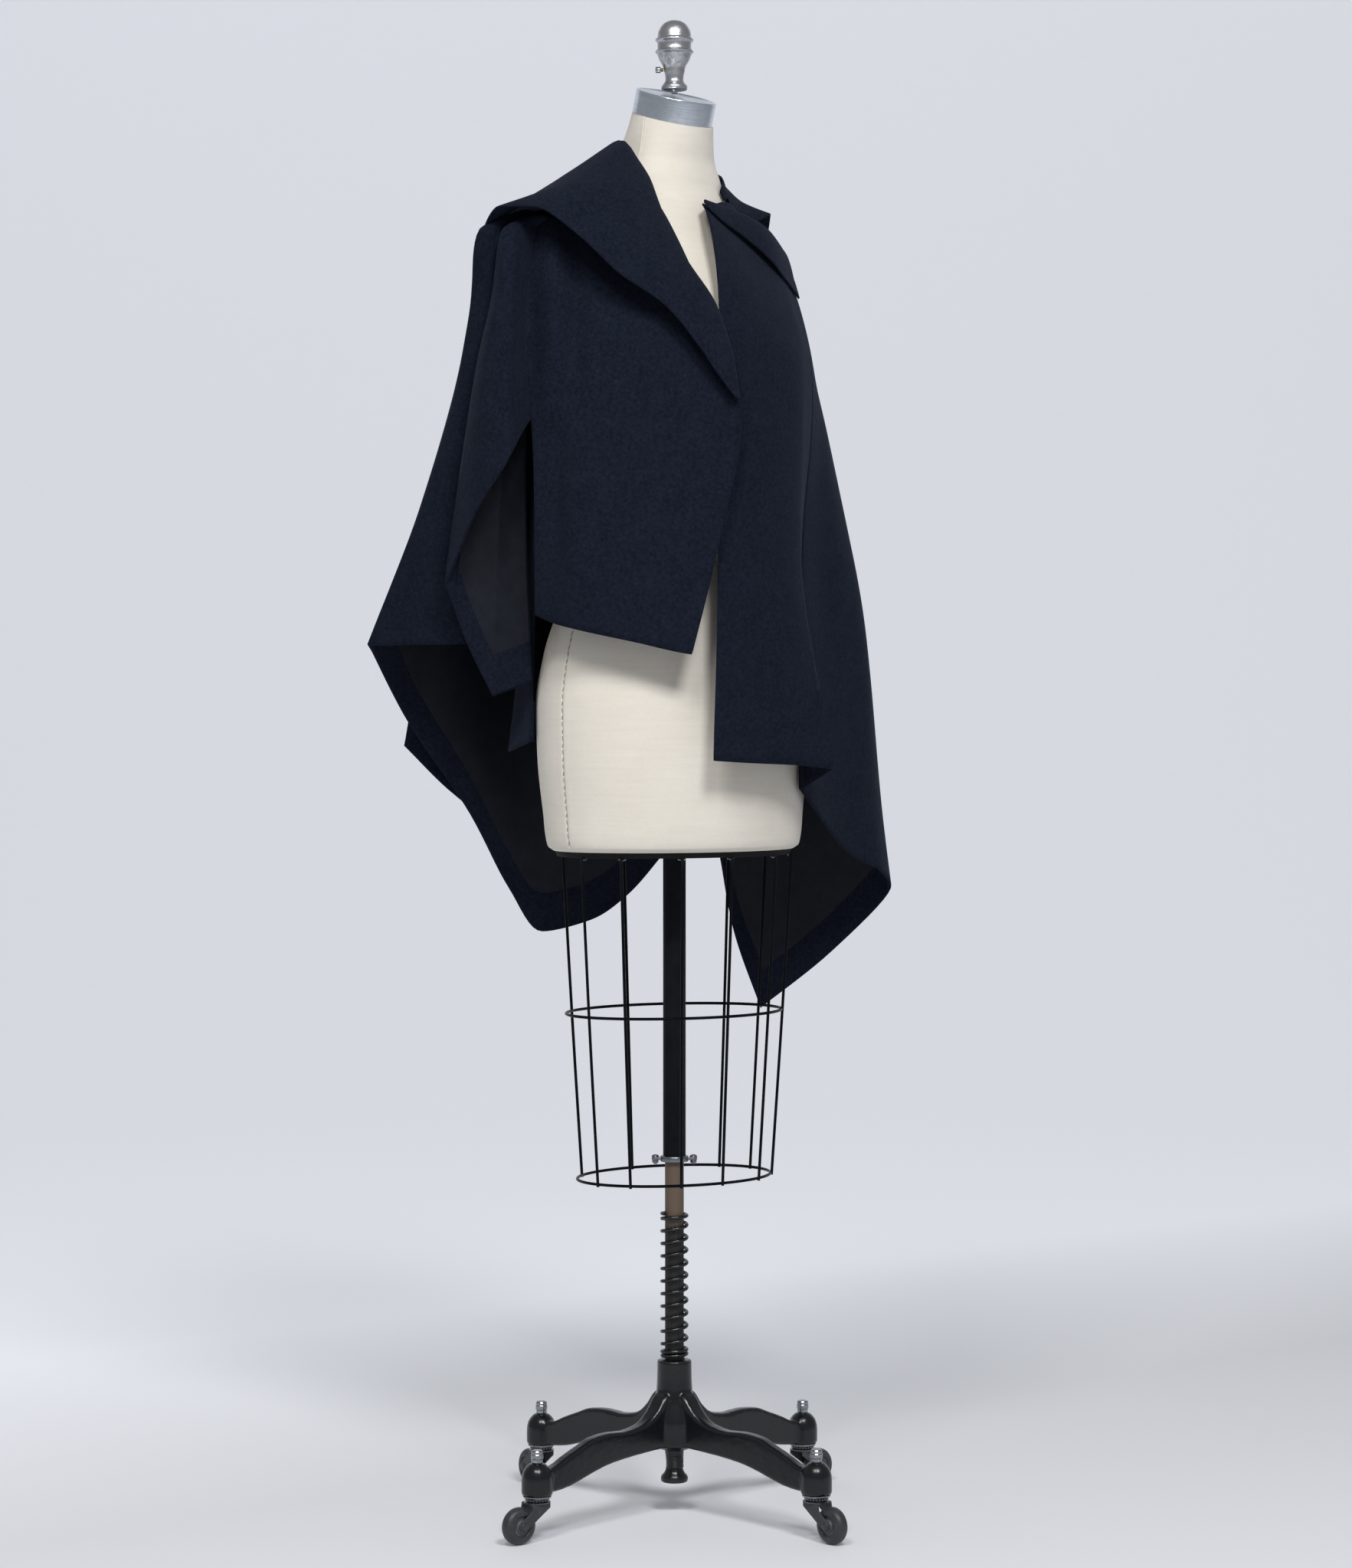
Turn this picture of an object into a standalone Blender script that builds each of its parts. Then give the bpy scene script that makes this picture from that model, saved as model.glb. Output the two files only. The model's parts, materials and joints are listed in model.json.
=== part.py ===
"""An asymmetric wool cape jacket on a limbless dress form with a wire cage and a cast-iron stand.

Metres, +Z up. The wearer's front faces -Y. Cloth is laid out in the three-quarter frame: across runs to
the right, depth away from the eye and height up from the floor, all measured from the pole's axis.
"""

import math
from collections import namedtuple

import bmesh
import bpy
import numpy as np
from mathutils import Matrix, Vector

# The frame.
THREE_QUARTER_TURN = math.radians(40.0)
POLE_X, POLE_Y = -0.026, -0.028
SEAT = 0.0003

# Cloth thicknesses and allowances.
WOOL = 0.0024
LINING = 0.0010
LAYER_GAP = 0.0005
SEAM_GAP = 0.0004
SIDE_SEAM_GAP = 0.0013
FACING_WIDTH = 0.045

# Dress form and its fittings.
FORM_BOTTOM = 0.762
NECK_TOP = 1.5925
NECK_TILT = math.radians(17.0)
CAP_RADIUS, CAP_HEIGHT = 0.0462, 0.0265
CAP_BACK = 0.004
FINIAL_BASE = 1.6255
BOARD_THICKNESS = 0.010

# Cage: half-width and half-depth of its hoops, by height.
CAGE_SIDES = 24
CAGE_WIRE_RADIUS = 0.0017
CAGE_TOP, CAGE_MIDDLE, CAGE_LOW = (0.149, 0.112), (0.1375, 0.103), (0.1235, 0.093)
CAGE_MIDDLE_HEIGHT, CAGE_LOW_HEIGHT = 0.5765, 0.3880

# Pole, spring and clamp.
TUBE_RADIUS, TUBE_BORE = 0.0130, 0.0112
TUBE_BOTTOM = 0.411
POLE_RADIUS, POLE_BOTTOM, POLE_TOP = 0.0108, 0.145, 0.640
CLAMP_HEIGHT, CLAMP_REACH = 0.0065, 0.026
SPRING_WIRE, SPRING_RADIUS = 0.0021, 0.0142
SPRING_TOP = 0.345

# Cast base.
HUB_TOP, HUB_RADIUS, HUB_BOTTOM = 0.1770, 0.0196, 0.073
LEG_REACH = 0.2188
BOSS_RADIUS, BOSS_BOTTOM, BOSS_TOP = 0.0175, 0.0520, 0.0875
STEM_RADIUS, STEM_BORE = 0.0048, 0.0052
FOOT_BOTTOM = 0.036

# Casters.
WHEEL_RADIUS, WHEEL_HALF_WIDTH, TRAIL = 0.0208, 0.0080, 0.026
AXLE_RADIUS, WHEEL_BORE, FORK_HOLE = 0.0027, 0.0031, 0.0031
FORK_INNER, FORK_OUTER = 0.0088, 0.0108
FORK_ROOF = 0.0425

Rail = namedtuple("Rail", "shoulder upper lower hem")
Leaf = namedtuple("Leaf", "neckline roll fall edge")
Ring = namedtuple("Ring", "height side front back tilt")
Leg = namedtuple("Leg", "reach top bottom half_width")


def vec(across, depth, height):
    """A point of the three-quarter frame, in the part's frame."""
    cos, sin = math.cos(THREE_QUARTER_TURN), math.sin(THREE_QUARTER_TURN)
    return Vector((POLE_X + across * cos + depth * sin, POLE_Y - across * sin + depth * cos, height))


def about_pole(x, y, z):
    return Vector((POLE_X + x, POLE_Y + y, z))


def clear_scene():
    for obj in list(bpy.data.objects):
        bpy.data.objects.remove(obj, do_unlink=True)


def material(name, colour, roughness, metallic=0.0):
    made = bpy.data.materials.new(name)
    made.use_nodes = True
    shader = made.node_tree.nodes["Principled BSDF"]
    shader.inputs["Base Color"].default_value = (*colour, 1.0)
    shader.inputs["Roughness"].default_value = roughness
    shader.inputs["Metallic"].default_value = metallic
    return made


def add_mesh(name, points, faces, finish, smooth_angle=40.0):
    """A named object of these points and faces, its faces made to point out."""
    mesh = bpy.data.meshes.new(name)
    mesh.from_pydata([tuple(p) for p in points], [], faces)
    shape = bmesh.new()
    shape.from_mesh(mesh)
    bmesh.ops.recalc_face_normals(shape, faces=shape.faces)
    if shape.calc_volume(signed=True) < 0:
        bmesh.ops.reverse_faces(shape, faces=shape.faces)
    shape.to_mesh(mesh)
    shape.free()
    mesh.materials.append(finish)
    mesh.shade_smooth()
    mesh.set_sharp_from_angle(angle=math.radians(smooth_angle))
    obj = bpy.data.objects.new(name, mesh)
    bpy.context.scene.collection.objects.link(obj)
    return obj


def hide(obj):
    obj.hide_render = True
    obj.display_type = "WIRE"
    return obj


def combine(obj, other, operation):
    """A Boolean of obj with a hidden helper."""
    modifier = obj.modifiers.new(operation.title(), "BOOLEAN")
    modifier.operation = operation
    modifier.object = hide(other)
    return obj


def lathe(profile, sides, place=None):
    """Points and faces of a turned solid: profile rows are (radius, height); radius 0 is a pole."""
    place = place or Matrix.Identity(4)
    points, rings = [], []
    for radius, height in profile:
        if radius < 1e-6:
            rings.append([len(points)])
            points.append(place @ Vector((0, 0, height)))
            continue
        rings.append(list(range(len(points), len(points) + sides)))
        for k in range(sides):
            angle = 2 * math.pi * (k + 0.5) / sides
            points.append(place @ Vector((radius * math.cos(angle), radius * math.sin(angle), height)))
    faces = []
    pairs = list(zip(rings, rings[1:]))
    closed_loop = len(rings[0]) > 1 and len(rings[-1]) > 1
    if closed_loop:
        pairs.append((rings[-1], rings[0]))
    for low, high in pairs:
        for k in range(sides):
            n = (k + 1) % sides
            corners = [low[k % len(low)], low[n % len(low)], high[n % len(high)], high[k % len(high)]]
            faces.append(list(dict.fromkeys(corners)))
    return points, faces


def turned(name, profile, sides, finish, place=None, smooth_angle=40.0):
    return add_mesh(name, *lathe(profile, sides, place), finish, smooth_angle)


def swept(sections, closed=False):
    """Points and faces of a tube through equal rings of points, capped unless it closes on itself."""
    sides = len(sections[0])
    points = [p for ring in sections for p in ring]
    count = len(sections)
    faces = []
    for i in range(count if closed else count - 1):
        a, b = i * sides, ((i + 1) % count) * sides
        for k in range(sides):
            n = (k + 1) % sides
            faces.append([a + k, a + n, b + n, b + k])
    if not closed:
        faces.append(list(range(sides))[::-1])
        faces.append(list(range((count - 1) * sides, count * sides)))
    return points, faces


def round_section(centre, along, radius, sides, up=Vector((0, 0, 1))):
    along = along.normalized()
    side = along.cross(up)
    if side.length < 1e-3:
        side = along.cross(Vector((1, 0, 0)))
    side.normalize()
    other = side.cross(along)
    return [
        centre + radius * (math.cos(2 * math.pi * k / sides) * side + math.sin(2 * math.pi * k / sides) * other)
        for k in range(sides)
    ]


def tube_sections(path, radius, sides, closed=False):
    sections = []
    for i, centre in enumerate(path):
        before = path[i - 1] if i or closed else path[i]
        after = path[(i + 1) % len(path)] if closed or i + 1 < len(path) else path[i]
        sections.append(round_section(centre, after - before, radius, sides))
    return sections


def slopes_of(xs, ys):
    """Slopes for a curve through the points that never overshoots them."""
    steps = np.diff(xs)
    rises = np.diff(ys) / steps
    slopes = np.zeros(len(xs))
    for i in range(1, len(xs) - 1):
        if rises[i - 1] * rises[i] > 0:
            w1, w2 = 2 * steps[i] + steps[i - 1], steps[i] + 2 * steps[i - 1]
            slopes[i] = (w1 + w2) / (w1 / rises[i - 1] + w2 / rises[i])
    slopes[0], slopes[-1] = rises[0], rises[-1]
    return slopes


def curve_through(xs, values, at):
    """Values of the no-overshoot curve through (xs, values), each column on its own."""
    xs, values, at = np.asarray(xs, float), np.asarray(values, float), np.asarray(at, float)
    out = np.empty((len(at), values.shape[1]))
    index = np.clip(np.searchsorted(xs, at, side="right") - 1, 0, len(xs) - 2)
    h = xs[index + 1] - xs[index]
    t = (at - xs[index]) / h
    for c in range(values.shape[1]):
        y, d = values[:, c], slopes_of(xs, values[:, c])
        out[:, c] = (
            (1 + 2 * t) * (1 - t) ** 2 * y[index]
            + t * (1 - t) ** 2 * h * d[index]
            + t * t * (3 - 2 * t) * y[index + 1]
            + t * t * (t - 1) * h * d[index + 1]
        )
    return out


def chord_lengths(points):
    return np.concatenate([[0.0], np.cumsum(np.linalg.norm(np.diff(points, axis=0), axis=1))])


def cloth_grid(rails, per_rail, rows, hem_strip=0.0, fine=48):
    """Points [row][column] of a panel hung through its rails, top row first.

    With a hem_strip the last two spaces between rows are half that strip each, so a facing can use them.
    """
    rails = np.array([[tuple(p) for p in rail] for rail in rails], float)
    down = []
    for rail in rails:
        lengths = chord_lengths(rail)
        down.append(curve_through(lengths, rail, np.linspace(0, lengths[-1], fine)))
    down = np.array(down)
    at = np.linspace(0, len(rails) - 1, (len(rails) - 1) * per_rail + 1)
    across = np.stack([curve_through(np.arange(len(rails)), down[:, k], at) for k in range(fine)])
    columns = []
    for j in range(across.shape[1]):
        line = across[:, j]
        lengths = chord_lengths(line)
        if hem_strip:
            top = lengths[-1] - hem_strip
            stops = np.concatenate([np.linspace(0, top, rows - 1), [top + hem_strip / 2, lengths[-1]]])
        else:
            stops = np.linspace(0, lengths[-1], rows + 1)
        columns.append(np.stack([np.interp(stops, lengths, line[:, c]) for c in range(3)], axis=1))
    return np.stack(columns, axis=1)


def grid_normals(grid):
    """Normals of a grid of points, lengthened at folds so that layers stay even."""
    diagonals = np.cross(grid[1:, 1:] - grid[:-1, :-1], grid[1:, :-1] - grid[:-1, 1:])
    faces = diagonals / np.linalg.norm(diagonals, axis=2, keepdims=True)
    padded = np.pad(faces, ((1, 1), (1, 1), (0, 0)), mode="edge")
    around = np.stack([padded[:-1, :-1], padded[:-1, 1:], padded[1:, :-1], padded[1:, 1:]])
    mean = around.sum(axis=0)
    mean /= np.linalg.norm(mean, axis=2, keepdims=True)
    fit = (around * mean).sum(axis=3).mean(axis=0)
    return mean / np.clip(fit, 0.6, 1.0)[..., None]


def wall(name, grid, thickness, finish, lift=0.0, normals=None):
    """A closed wall of even thickness about a grid, its middle lifted off the grid along the normals."""
    normals = grid_normals(grid) if normals is None else normals
    outer = grid + normals * (lift + thickness / 2)
    inner = grid + normals * (lift - thickness / 2)
    rows, columns = grid.shape[:2]
    size = rows * columns
    points = [vec(*p) for p in outer.reshape(-1, 3)] + [vec(*p) for p in inner.reshape(-1, 3)]

    def at(row, column):
        return row * columns + column

    faces = []
    for r in range(rows - 1):
        for c in range(columns - 1):
            first, low, far, high = at(r, c), at(r + 1, c), at(r + 1, c + 1), at(r, c + 1)
            for face in ([first, low, far], [first, far, high]):
                faces.append(face)
                faces.append([size + k for k in reversed(face)])
    rim = [at(0, c) for c in range(columns)]
    rim += [at(r, columns - 1) for r in range(1, rows)]
    rim += [at(rows - 1, c) for c in range(columns - 2, -1, -1)]
    rim += [at(r, 0) for r in range(rows - 2, 0, -1)]
    for a, b in zip(rim, rim[1:] + rim[:1]):
        faces.append([a, b, size + b, size + a])
    return add_mesh(name, points, faces, finish, 50.0)


def drawn_in(grid, first=0.0, last=0.0):
    """The grid with its first and last columns drawn in by these lengths, for a seam's gap."""
    grid = grid.copy()
    for edge, inward, gap in ((0, 1, first), (-1, -2, last)):
        step = grid[:, inward] - grid[:, edge]
        grid[:, edge] += step / np.linalg.norm(step, axis=1, keepdims=True) * gap
    return grid


def inside_layer(name, grid, rows, columns, thickness, finish, depth, trim_top=0.0, trim_bottom=0.0):
    """A facing or lining laid inside a panel, made from the panel's own points and normals."""
    normals = grid_normals(grid)
    part = grid[rows[0] : rows[1] + 1, columns[0] : columns[1] + 1].copy()
    for edge, inward, gap in ((0, 1, trim_top), (-1, -2, trim_bottom)):
        step = part[inward] - part[edge]
        part[edge] += step / np.linalg.norm(step, axis=1, keepdims=True) * gap
    use = normals[rows[0] : rows[1] + 1, columns[0] : columns[1] + 1]
    return wall(name, part, thickness, finish, lift=-depth, normals=use)


# Form sections from the hem to the neck: height, half-width, front and back reach, tilt in degrees.
FORM_RINGS = (
    Ring(0.7620, 0.1520, 0.1120, 0.1120, 0),
    Ring(0.7670, 0.1590, 0.1180, 0.1180, 0),
    Ring(0.8050, 0.1640, 0.1215, 0.1240, 0),
    Ring(0.8650, 0.1690, 0.1230, 0.1330, 0),
    Ring(0.9250, 0.1700, 0.1200, 0.1370, 0),
    Ring(0.9850, 0.1610, 0.1120, 0.1270, 0),
    Ring(1.0450, 0.1410, 0.1010, 0.1070, 0),
    Ring(1.0950, 0.1240, 0.0940, 0.0900, 0),
    Ring(1.1350, 0.1190, 0.0930, 0.0840, 0),
    Ring(1.1850, 0.1250, 0.1020, 0.0880, 0),
    Ring(1.2400, 0.1370, 0.1180, 0.0970, 0),
    Ring(1.2850, 0.1440, 0.1270, 0.1030, 0),
    Ring(1.3350, 0.1460, 0.1160, 0.1090, 0),
    Ring(1.3850, 0.1470, 0.0960, 0.1130, 0),
    Ring(1.4200, 0.1410, 0.0740, 0.1110, 0),
    Ring(1.4400, 0.1270, 0.0620, 0.1050, 2),
    Ring(1.4600, 0.1040, 0.0520, 0.0990, 5),
    Ring(1.4800, 0.0840, 0.0450, 0.0940, 8),
    Ring(1.5010, 0.0710, 0.0390, 0.0890, 12),
    Ring(1.5270, 0.0630, 0.0340, 0.0850, 15),
    Ring(1.5500, 0.0530, 0.0340, 0.0700, 17),
    Ring(1.5710, 0.0490, 0.0375, 0.0590, 17),
    Ring(NECK_TOP - SEAT, 0.0460, 0.0420, 0.0500, 17),
)
FORM_SIDES = 24


def form_level(points):
    """How far out points of the three-quarter frame lie: 1 on the form's skin, less inside it."""
    cos, sin = math.cos(THREE_QUARTER_TURN), math.sin(THREE_QUARTER_TURN)
    x = points[..., 0] * cos + points[..., 1] * sin
    y = -points[..., 0] * sin + points[..., 1] * cos
    height, side, front, back, tilt = np.array(FORM_RINGS).T
    lean = np.tan(np.radians(np.interp(points[..., 2], height, tilt)))
    level = points[..., 2] - lean * y
    reach = np.where(y > 0, np.interp(level, height, back), np.interp(level, height, front))
    return np.hypot(x / np.interp(level, height, side), y / reach)


def rest_on_form(grid, gap):
    """The grid with every point nearer to the form's skin than the gap moved straight off it."""
    grid, step = grid.copy(), 0.0005
    for _ in range(8):
        ahead = np.stack([form_level(grid + step * e) for e in np.eye(3)], axis=-1)
        behind = np.stack([form_level(grid - step * e) for e in np.eye(3)], axis=-1)
        slope = (ahead - behind) / (2 * step)
        size = np.linalg.norm(slope, axis=-1, keepdims=True)
        short = gap - (form_level(grid)[..., None] - 1) / size
        grid += slope / size * np.clip(short, 0, 0.008)
    return grid


def clear_of(grid, under, gap):
    """The grid with each point near the panel under it held the gap off that panel's middle surface."""
    grid, ways = grid.copy(), grid_normals(under)
    ways /= np.linalg.norm(ways, axis=-1, keepdims=True)
    ways *= np.sign(np.sum(ways * under * (1, 1, 0)))
    spots, ways = under.reshape(-1, 3), ways.reshape(-1, 3)
    for _ in range(3):
        apart = grid[:, :, None] - spots
        near = np.linalg.norm(apart, axis=-1).argmin(axis=-1)
        way = ways[near]
        lift = np.sum((grid - spots[near]) * way, axis=-1, keepdims=True)
        grid += way * np.clip(gap - lift, 0, 0.006)
    return grid


def dress_form(finish):
    sections = []
    for ring in FORM_RINGS:
        section = []
        for k in range(FORM_SIDES):
            angle = 2 * math.pi * k / FORM_SIDES
            reach = ring.back if math.sin(angle) > 0 else ring.front
            y = reach * math.sin(angle)
            lean = math.tan(math.radians(ring.tilt)) * y
            section.append(about_pole(ring.side * math.cos(angle), y, ring.height + lean))
        sections.append(section)
    return add_mesh("dress_form", *swept(sections), finish, 60.0)


# Finial profile from its foot to its tip, in millimetres: radius, height.
FINIAL_PROFILE_MM = (
    (3.5, -3.7), (3.5, 0.0), (13.0, 0.0), (14.8, 1.8), (14.8, 4.5), (12.0, 8.0), (10.3, 10.5), (10.4, 15.0),
    (11.6, 21.0), (12.2, 25.0), (15.2, 30.0), (17.8, 36.0), (19.4, 40.5), (21.8, 43.7), (20.0, 46.8),
    (19.2, 50.3), (19.8, 53.6), (21.8, 57.0), (19.2, 60.5), (18.4, 65.0), (15.6, 72.0), (11.0, 76.8),
    (5.5, 78.8),
)


def neck_fittings(steel, brass):
    tilt = Matrix.Rotation(NECK_TILT, 4, "X")
    seat = NECK_TOP + CAP_BACK * math.tan(NECK_TILT)
    cap_place = Matrix.Translation(about_pole(0, CAP_BACK, seat)) @ tilt
    rim = 0.0012
    turned(
        "neck_cap",
        ((0, 0), (CAP_RADIUS, 0), (CAP_RADIUS, CAP_HEIGHT - rim), (CAP_RADIUS - rim, CAP_HEIGHT),
         (0, CAP_HEIGHT)),
        32, steel, cap_place,
    )
    top = Matrix.Translation(about_pole(0, 0, FINIAL_BASE))
    profile = [(0, FINIAL_PROFILE_MM[0][1] / 1000)]
    profile += [(r / 1000, h / 1000) for r, h in FINIAL_PROFILE_MM]
    profile += [(0, 0.0798)]
    turned("finial", profile, 12, steel, top)
    # The set-screw points to the left of the three-quarter view, into the finial's waist.
    waist, height = 0.0122, 0.0233
    aim = (vec(-1, 0, 0) - vec(0, 0, 0)).to_track_quat("Z", "Y").to_matrix().to_4x4()
    place = Matrix.Translation(about_pole(0, 0, FINIAL_BASE + height)) @ aim
    turned(
        "finial_screw",
        ((0, waist + SEAT), (0.0021, waist + SEAT), (0.0021, 0.0150), (0.0033, 0.0150), (0.0033, 0.0218),
         (0, 0.0218)),
        10, brass, place,
    )


def bottom_board(finish):
    """The form's wooden floor, cut to the form's oval a little inside its edge."""
    half_width, half_depth, inset = 0.150, 0.110, 0.0015
    sections = []
    for height, grow in ((FORM_BOTTOM - SEAT - BOARD_THICKNESS, -inset), (FORM_BOTTOM - SEAT, 0.0)):
        sections.append([
            about_pole(
                (half_width + grow) * math.cos(2 * math.pi * k / 28),
                (half_depth + grow) * math.sin(2 * math.pi * k / 28),
                height,
            )
            for k in range(28)
        ])
    add_mesh("bottom_board", *swept(sections), finish)


# Where the uprights stand round the hoops, in the three-quarter view: 0 is its right end, 90 the back.
CAGE_WIRE_TURNS = (0, 38, 62, 116, 161, -140, -116, -86, -61, -31)


def oval(half, height, angle):
    return about_pole(half[0] * math.cos(angle), half[1] * math.sin(angle), height)


def cage(finish):
    """Uprights butted under the board, welded to an oval hoop half-way down and one at the foot."""
    board_face = FORM_BOTTOM - SEAT - BOARD_THICKNESS - SEAT
    overlap = CAGE_WIRE_RADIUS * 0.9

    def hoop(name, half, height):
        inner = (half[0] - overlap, half[1] - overlap)
        path = [oval(inner, height, 2 * math.pi * (k + 0.5) / CAGE_SIDES) for k in range(CAGE_SIDES)]
        return add_mesh(name, *swept(tube_sections(path, CAGE_WIRE_RADIUS, 5, True), True), finish)

    frame = hoop("cage", CAGE_LOW, CAGE_LOW_HEIGHT)
    combine(frame, hoop("cage_middle_hoop", CAGE_MIDDLE, CAGE_MIDDLE_HEIGHT), "UNION")
    lead = math.atan2(CAGE_LOW[1] * math.sin(THREE_QUARTER_TURN), CAGE_LOW[0] * math.cos(THREE_QUARTER_TURN))
    for k, degrees in enumerate(CAGE_WIRE_TURNS):
        angle = math.radians(degrees) - lead
        path = [
            oval(CAGE_TOP, board_face, angle),
            oval(CAGE_MIDDLE, CAGE_MIDDLE_HEIGHT, angle),
            oval(CAGE_LOW, CAGE_LOW_HEIGHT - CAGE_WIRE_RADIUS * 1.5, angle),
        ]
        wire = add_mesh(f"cage_wire_{k}", *swept(tube_sections(path, CAGE_WIRE_RADIUS, 5)), finish)
        combine(frame, wire, "UNION")


def column(black, wood, steel):
    """Tube fixed to the form, the wooden pole that it slides on, the clamp between them and the spring."""
    centre = Matrix.Translation(about_pole(0, 0, 0))
    tube_top = FORM_BOTTOM - SEAT - BOARD_THICKNESS - SEAT
    turned(
        "tube",
        ((TUBE_BORE, TUBE_BOTTOM), (TUBE_RADIUS, TUBE_BOTTOM), (TUBE_RADIUS, tube_top), (TUBE_BORE, tube_top)),
        20, black, centre,
    )
    turned(
        "pole",
        ((0, POLE_BOTTOM), (POLE_RADIUS, POLE_BOTTOM), (POLE_RADIUS, POLE_TOP), (0, POLE_TOP)),
        16, wood, centre,
    )
    top = TUBE_BOTTOM - SEAT
    low = top - CLAMP_HEIGHT
    bore = POLE_RADIUS + 0.0005
    collar = turned(
        "clamp",
        ((bore, low), (TUBE_RADIUS + 0.003, low), (TUBE_RADIUS + 0.003, top), (bore, top)),
        20, steel, centre,
    )
    bolt_radius, ear_width, ear_thickness = 0.0024, 0.0085, 0.0030
    middle = (low + top) / 2
    for side in (-1, 1):
        corners = []
        for height in (middle - ear_thickness / 2, middle + ear_thickness / 2):
            corners.append([
                vec(side * reach, depth, height)
                for reach, depth in (
                    (TUBE_RADIUS + 0.001, -ear_width / 2), (CLAMP_REACH, -ear_width / 2),
                    (CLAMP_REACH, ear_width / 2), (TUBE_RADIUS + 0.001, ear_width / 2),
                )
            ])
        combine(collar, add_mesh(f"clamp_ear_{side}", *swept(corners), steel), "UNION")
        bolt_at = CLAMP_REACH - 0.0042
        hole = Matrix.Translation(vec(side * bolt_at, 0, 0))
        cut = turned(
            f"clamp_hole_{side}",
            ((0, low - 0.01), (bolt_radius + SEAT, low - 0.01), (bolt_radius + SEAT, top + 0.01),
             (0, top + 0.01)),
            10, steel, hole,
        )
        combine(collar, cut, "DIFFERENCE")
        head, under = middle + ear_thickness / 2 + SEAT, middle - ear_thickness / 2 - SEAT
        turned(
            f"clamp_bolt_{'left' if side < 0 else 'right'}",
            ((0, under - 0.0045), (0.0038, under - 0.0045), (0.0038, under), (bolt_radius, under),
             (bolt_radius, head), (0.0042, head), (0.0042, head + 0.0030), (0, head + 0.0030)),
            10, steel, hole,
        )
    spring(steel)


def spring(finish):
    """A coil spring round the pole: closed end coils and open ones between, standing on the hub."""
    closed_pitch, bottom_turns, top_turns, open_turns = 2 * SPRING_WIRE + 0.0006, 2.0, 1.0, 10.5
    start = HUB_TOP + SEAT + SPRING_WIRE
    open_rise = SPRING_TOP - start - closed_pitch * (bottom_turns + top_turns)
    per_turn, sides = 8, 4
    path = []
    turns = bottom_turns + open_turns + top_turns
    for k in range(round(turns * per_turn) + 1):
        turn = k / per_turn
        rise = closed_pitch * min(turn, bottom_turns)
        rise += open_rise * min(max((turn - bottom_turns) / open_turns, 0), 1)
        rise += closed_pitch * max(turn - bottom_turns - open_turns, 0)
        angle = 2 * math.pi * turn
        path.append(about_pole(SPRING_RADIUS * math.cos(angle), SPRING_RADIUS * math.sin(angle), start + rise))
    add_mesh("spring", *swept(tube_sections(path, SPRING_WIRE, sides)), finish)


# Hub profile from top to bottom, in millimetres: radius, height. A blind socket takes the pole.
HUB_PROFILE_MM = (
    (19.6, 173.0), (19.8, 160.0), (20.5, 142.0), (22.5, 130.0), (26.0, 119.0), (29.0, 108.0), (29.0, 92.0),
    (25.0, 81.0), (18.0, 75.0), (12.0, 73.0),
)
# One arm of the base, from the hub to the boss.
LEG_SECTIONS = (
    Leg(0.010, 0.123, 0.079, 0.0130),
    Leg(0.035, 0.119, 0.078, 0.0115),
    Leg(0.060, 0.110, 0.0765, 0.0090),
    Leg(0.085, 0.1080, 0.0745, 0.0082),
    Leg(0.110, 0.1070, 0.0715, 0.0078),
    Leg(0.135, 0.1030, 0.0660, 0.0076),
    Leg(0.160, 0.0955, 0.0590, 0.0076),
    Leg(0.185, 0.0860, 0.0535, 0.0078),
    Leg(0.212, 0.0785, 0.0525, 0.0080),
)
LEG_TURNS = (46, 136, 226, 316)


def view_direction(degrees):
    """Unit vector of the part's frame at this angle of the three-quarter frame, 0 to the right."""
    angle = math.radians(degrees)
    return vec(math.cos(angle), math.sin(angle), 0) - vec(0, 0, 0)


def leg_shape(name, degrees, finish):
    out = view_direction(degrees)
    side = Vector((0, 0, 1)).cross(out)
    sections = []
    for leg in LEG_SECTIONS:
        bevel = 0.35 * leg.half_width
        centre = about_pole(0, 0, 0) + out * leg.reach
        outline = (
            (-leg.half_width, leg.bottom + bevel), (-leg.half_width + bevel, leg.bottom),
            (leg.half_width - bevel, leg.bottom), (leg.half_width, leg.bottom + bevel),
            (leg.half_width, leg.top - bevel), (leg.half_width - bevel, leg.top),
            (-leg.half_width + bevel, leg.top), (-leg.half_width, leg.top - bevel),
        )
        sections.append([centre + side * w + Vector((0, 0, h)) for w, h in outline])
    return add_mesh(name, *swept(sections), finish)


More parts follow.
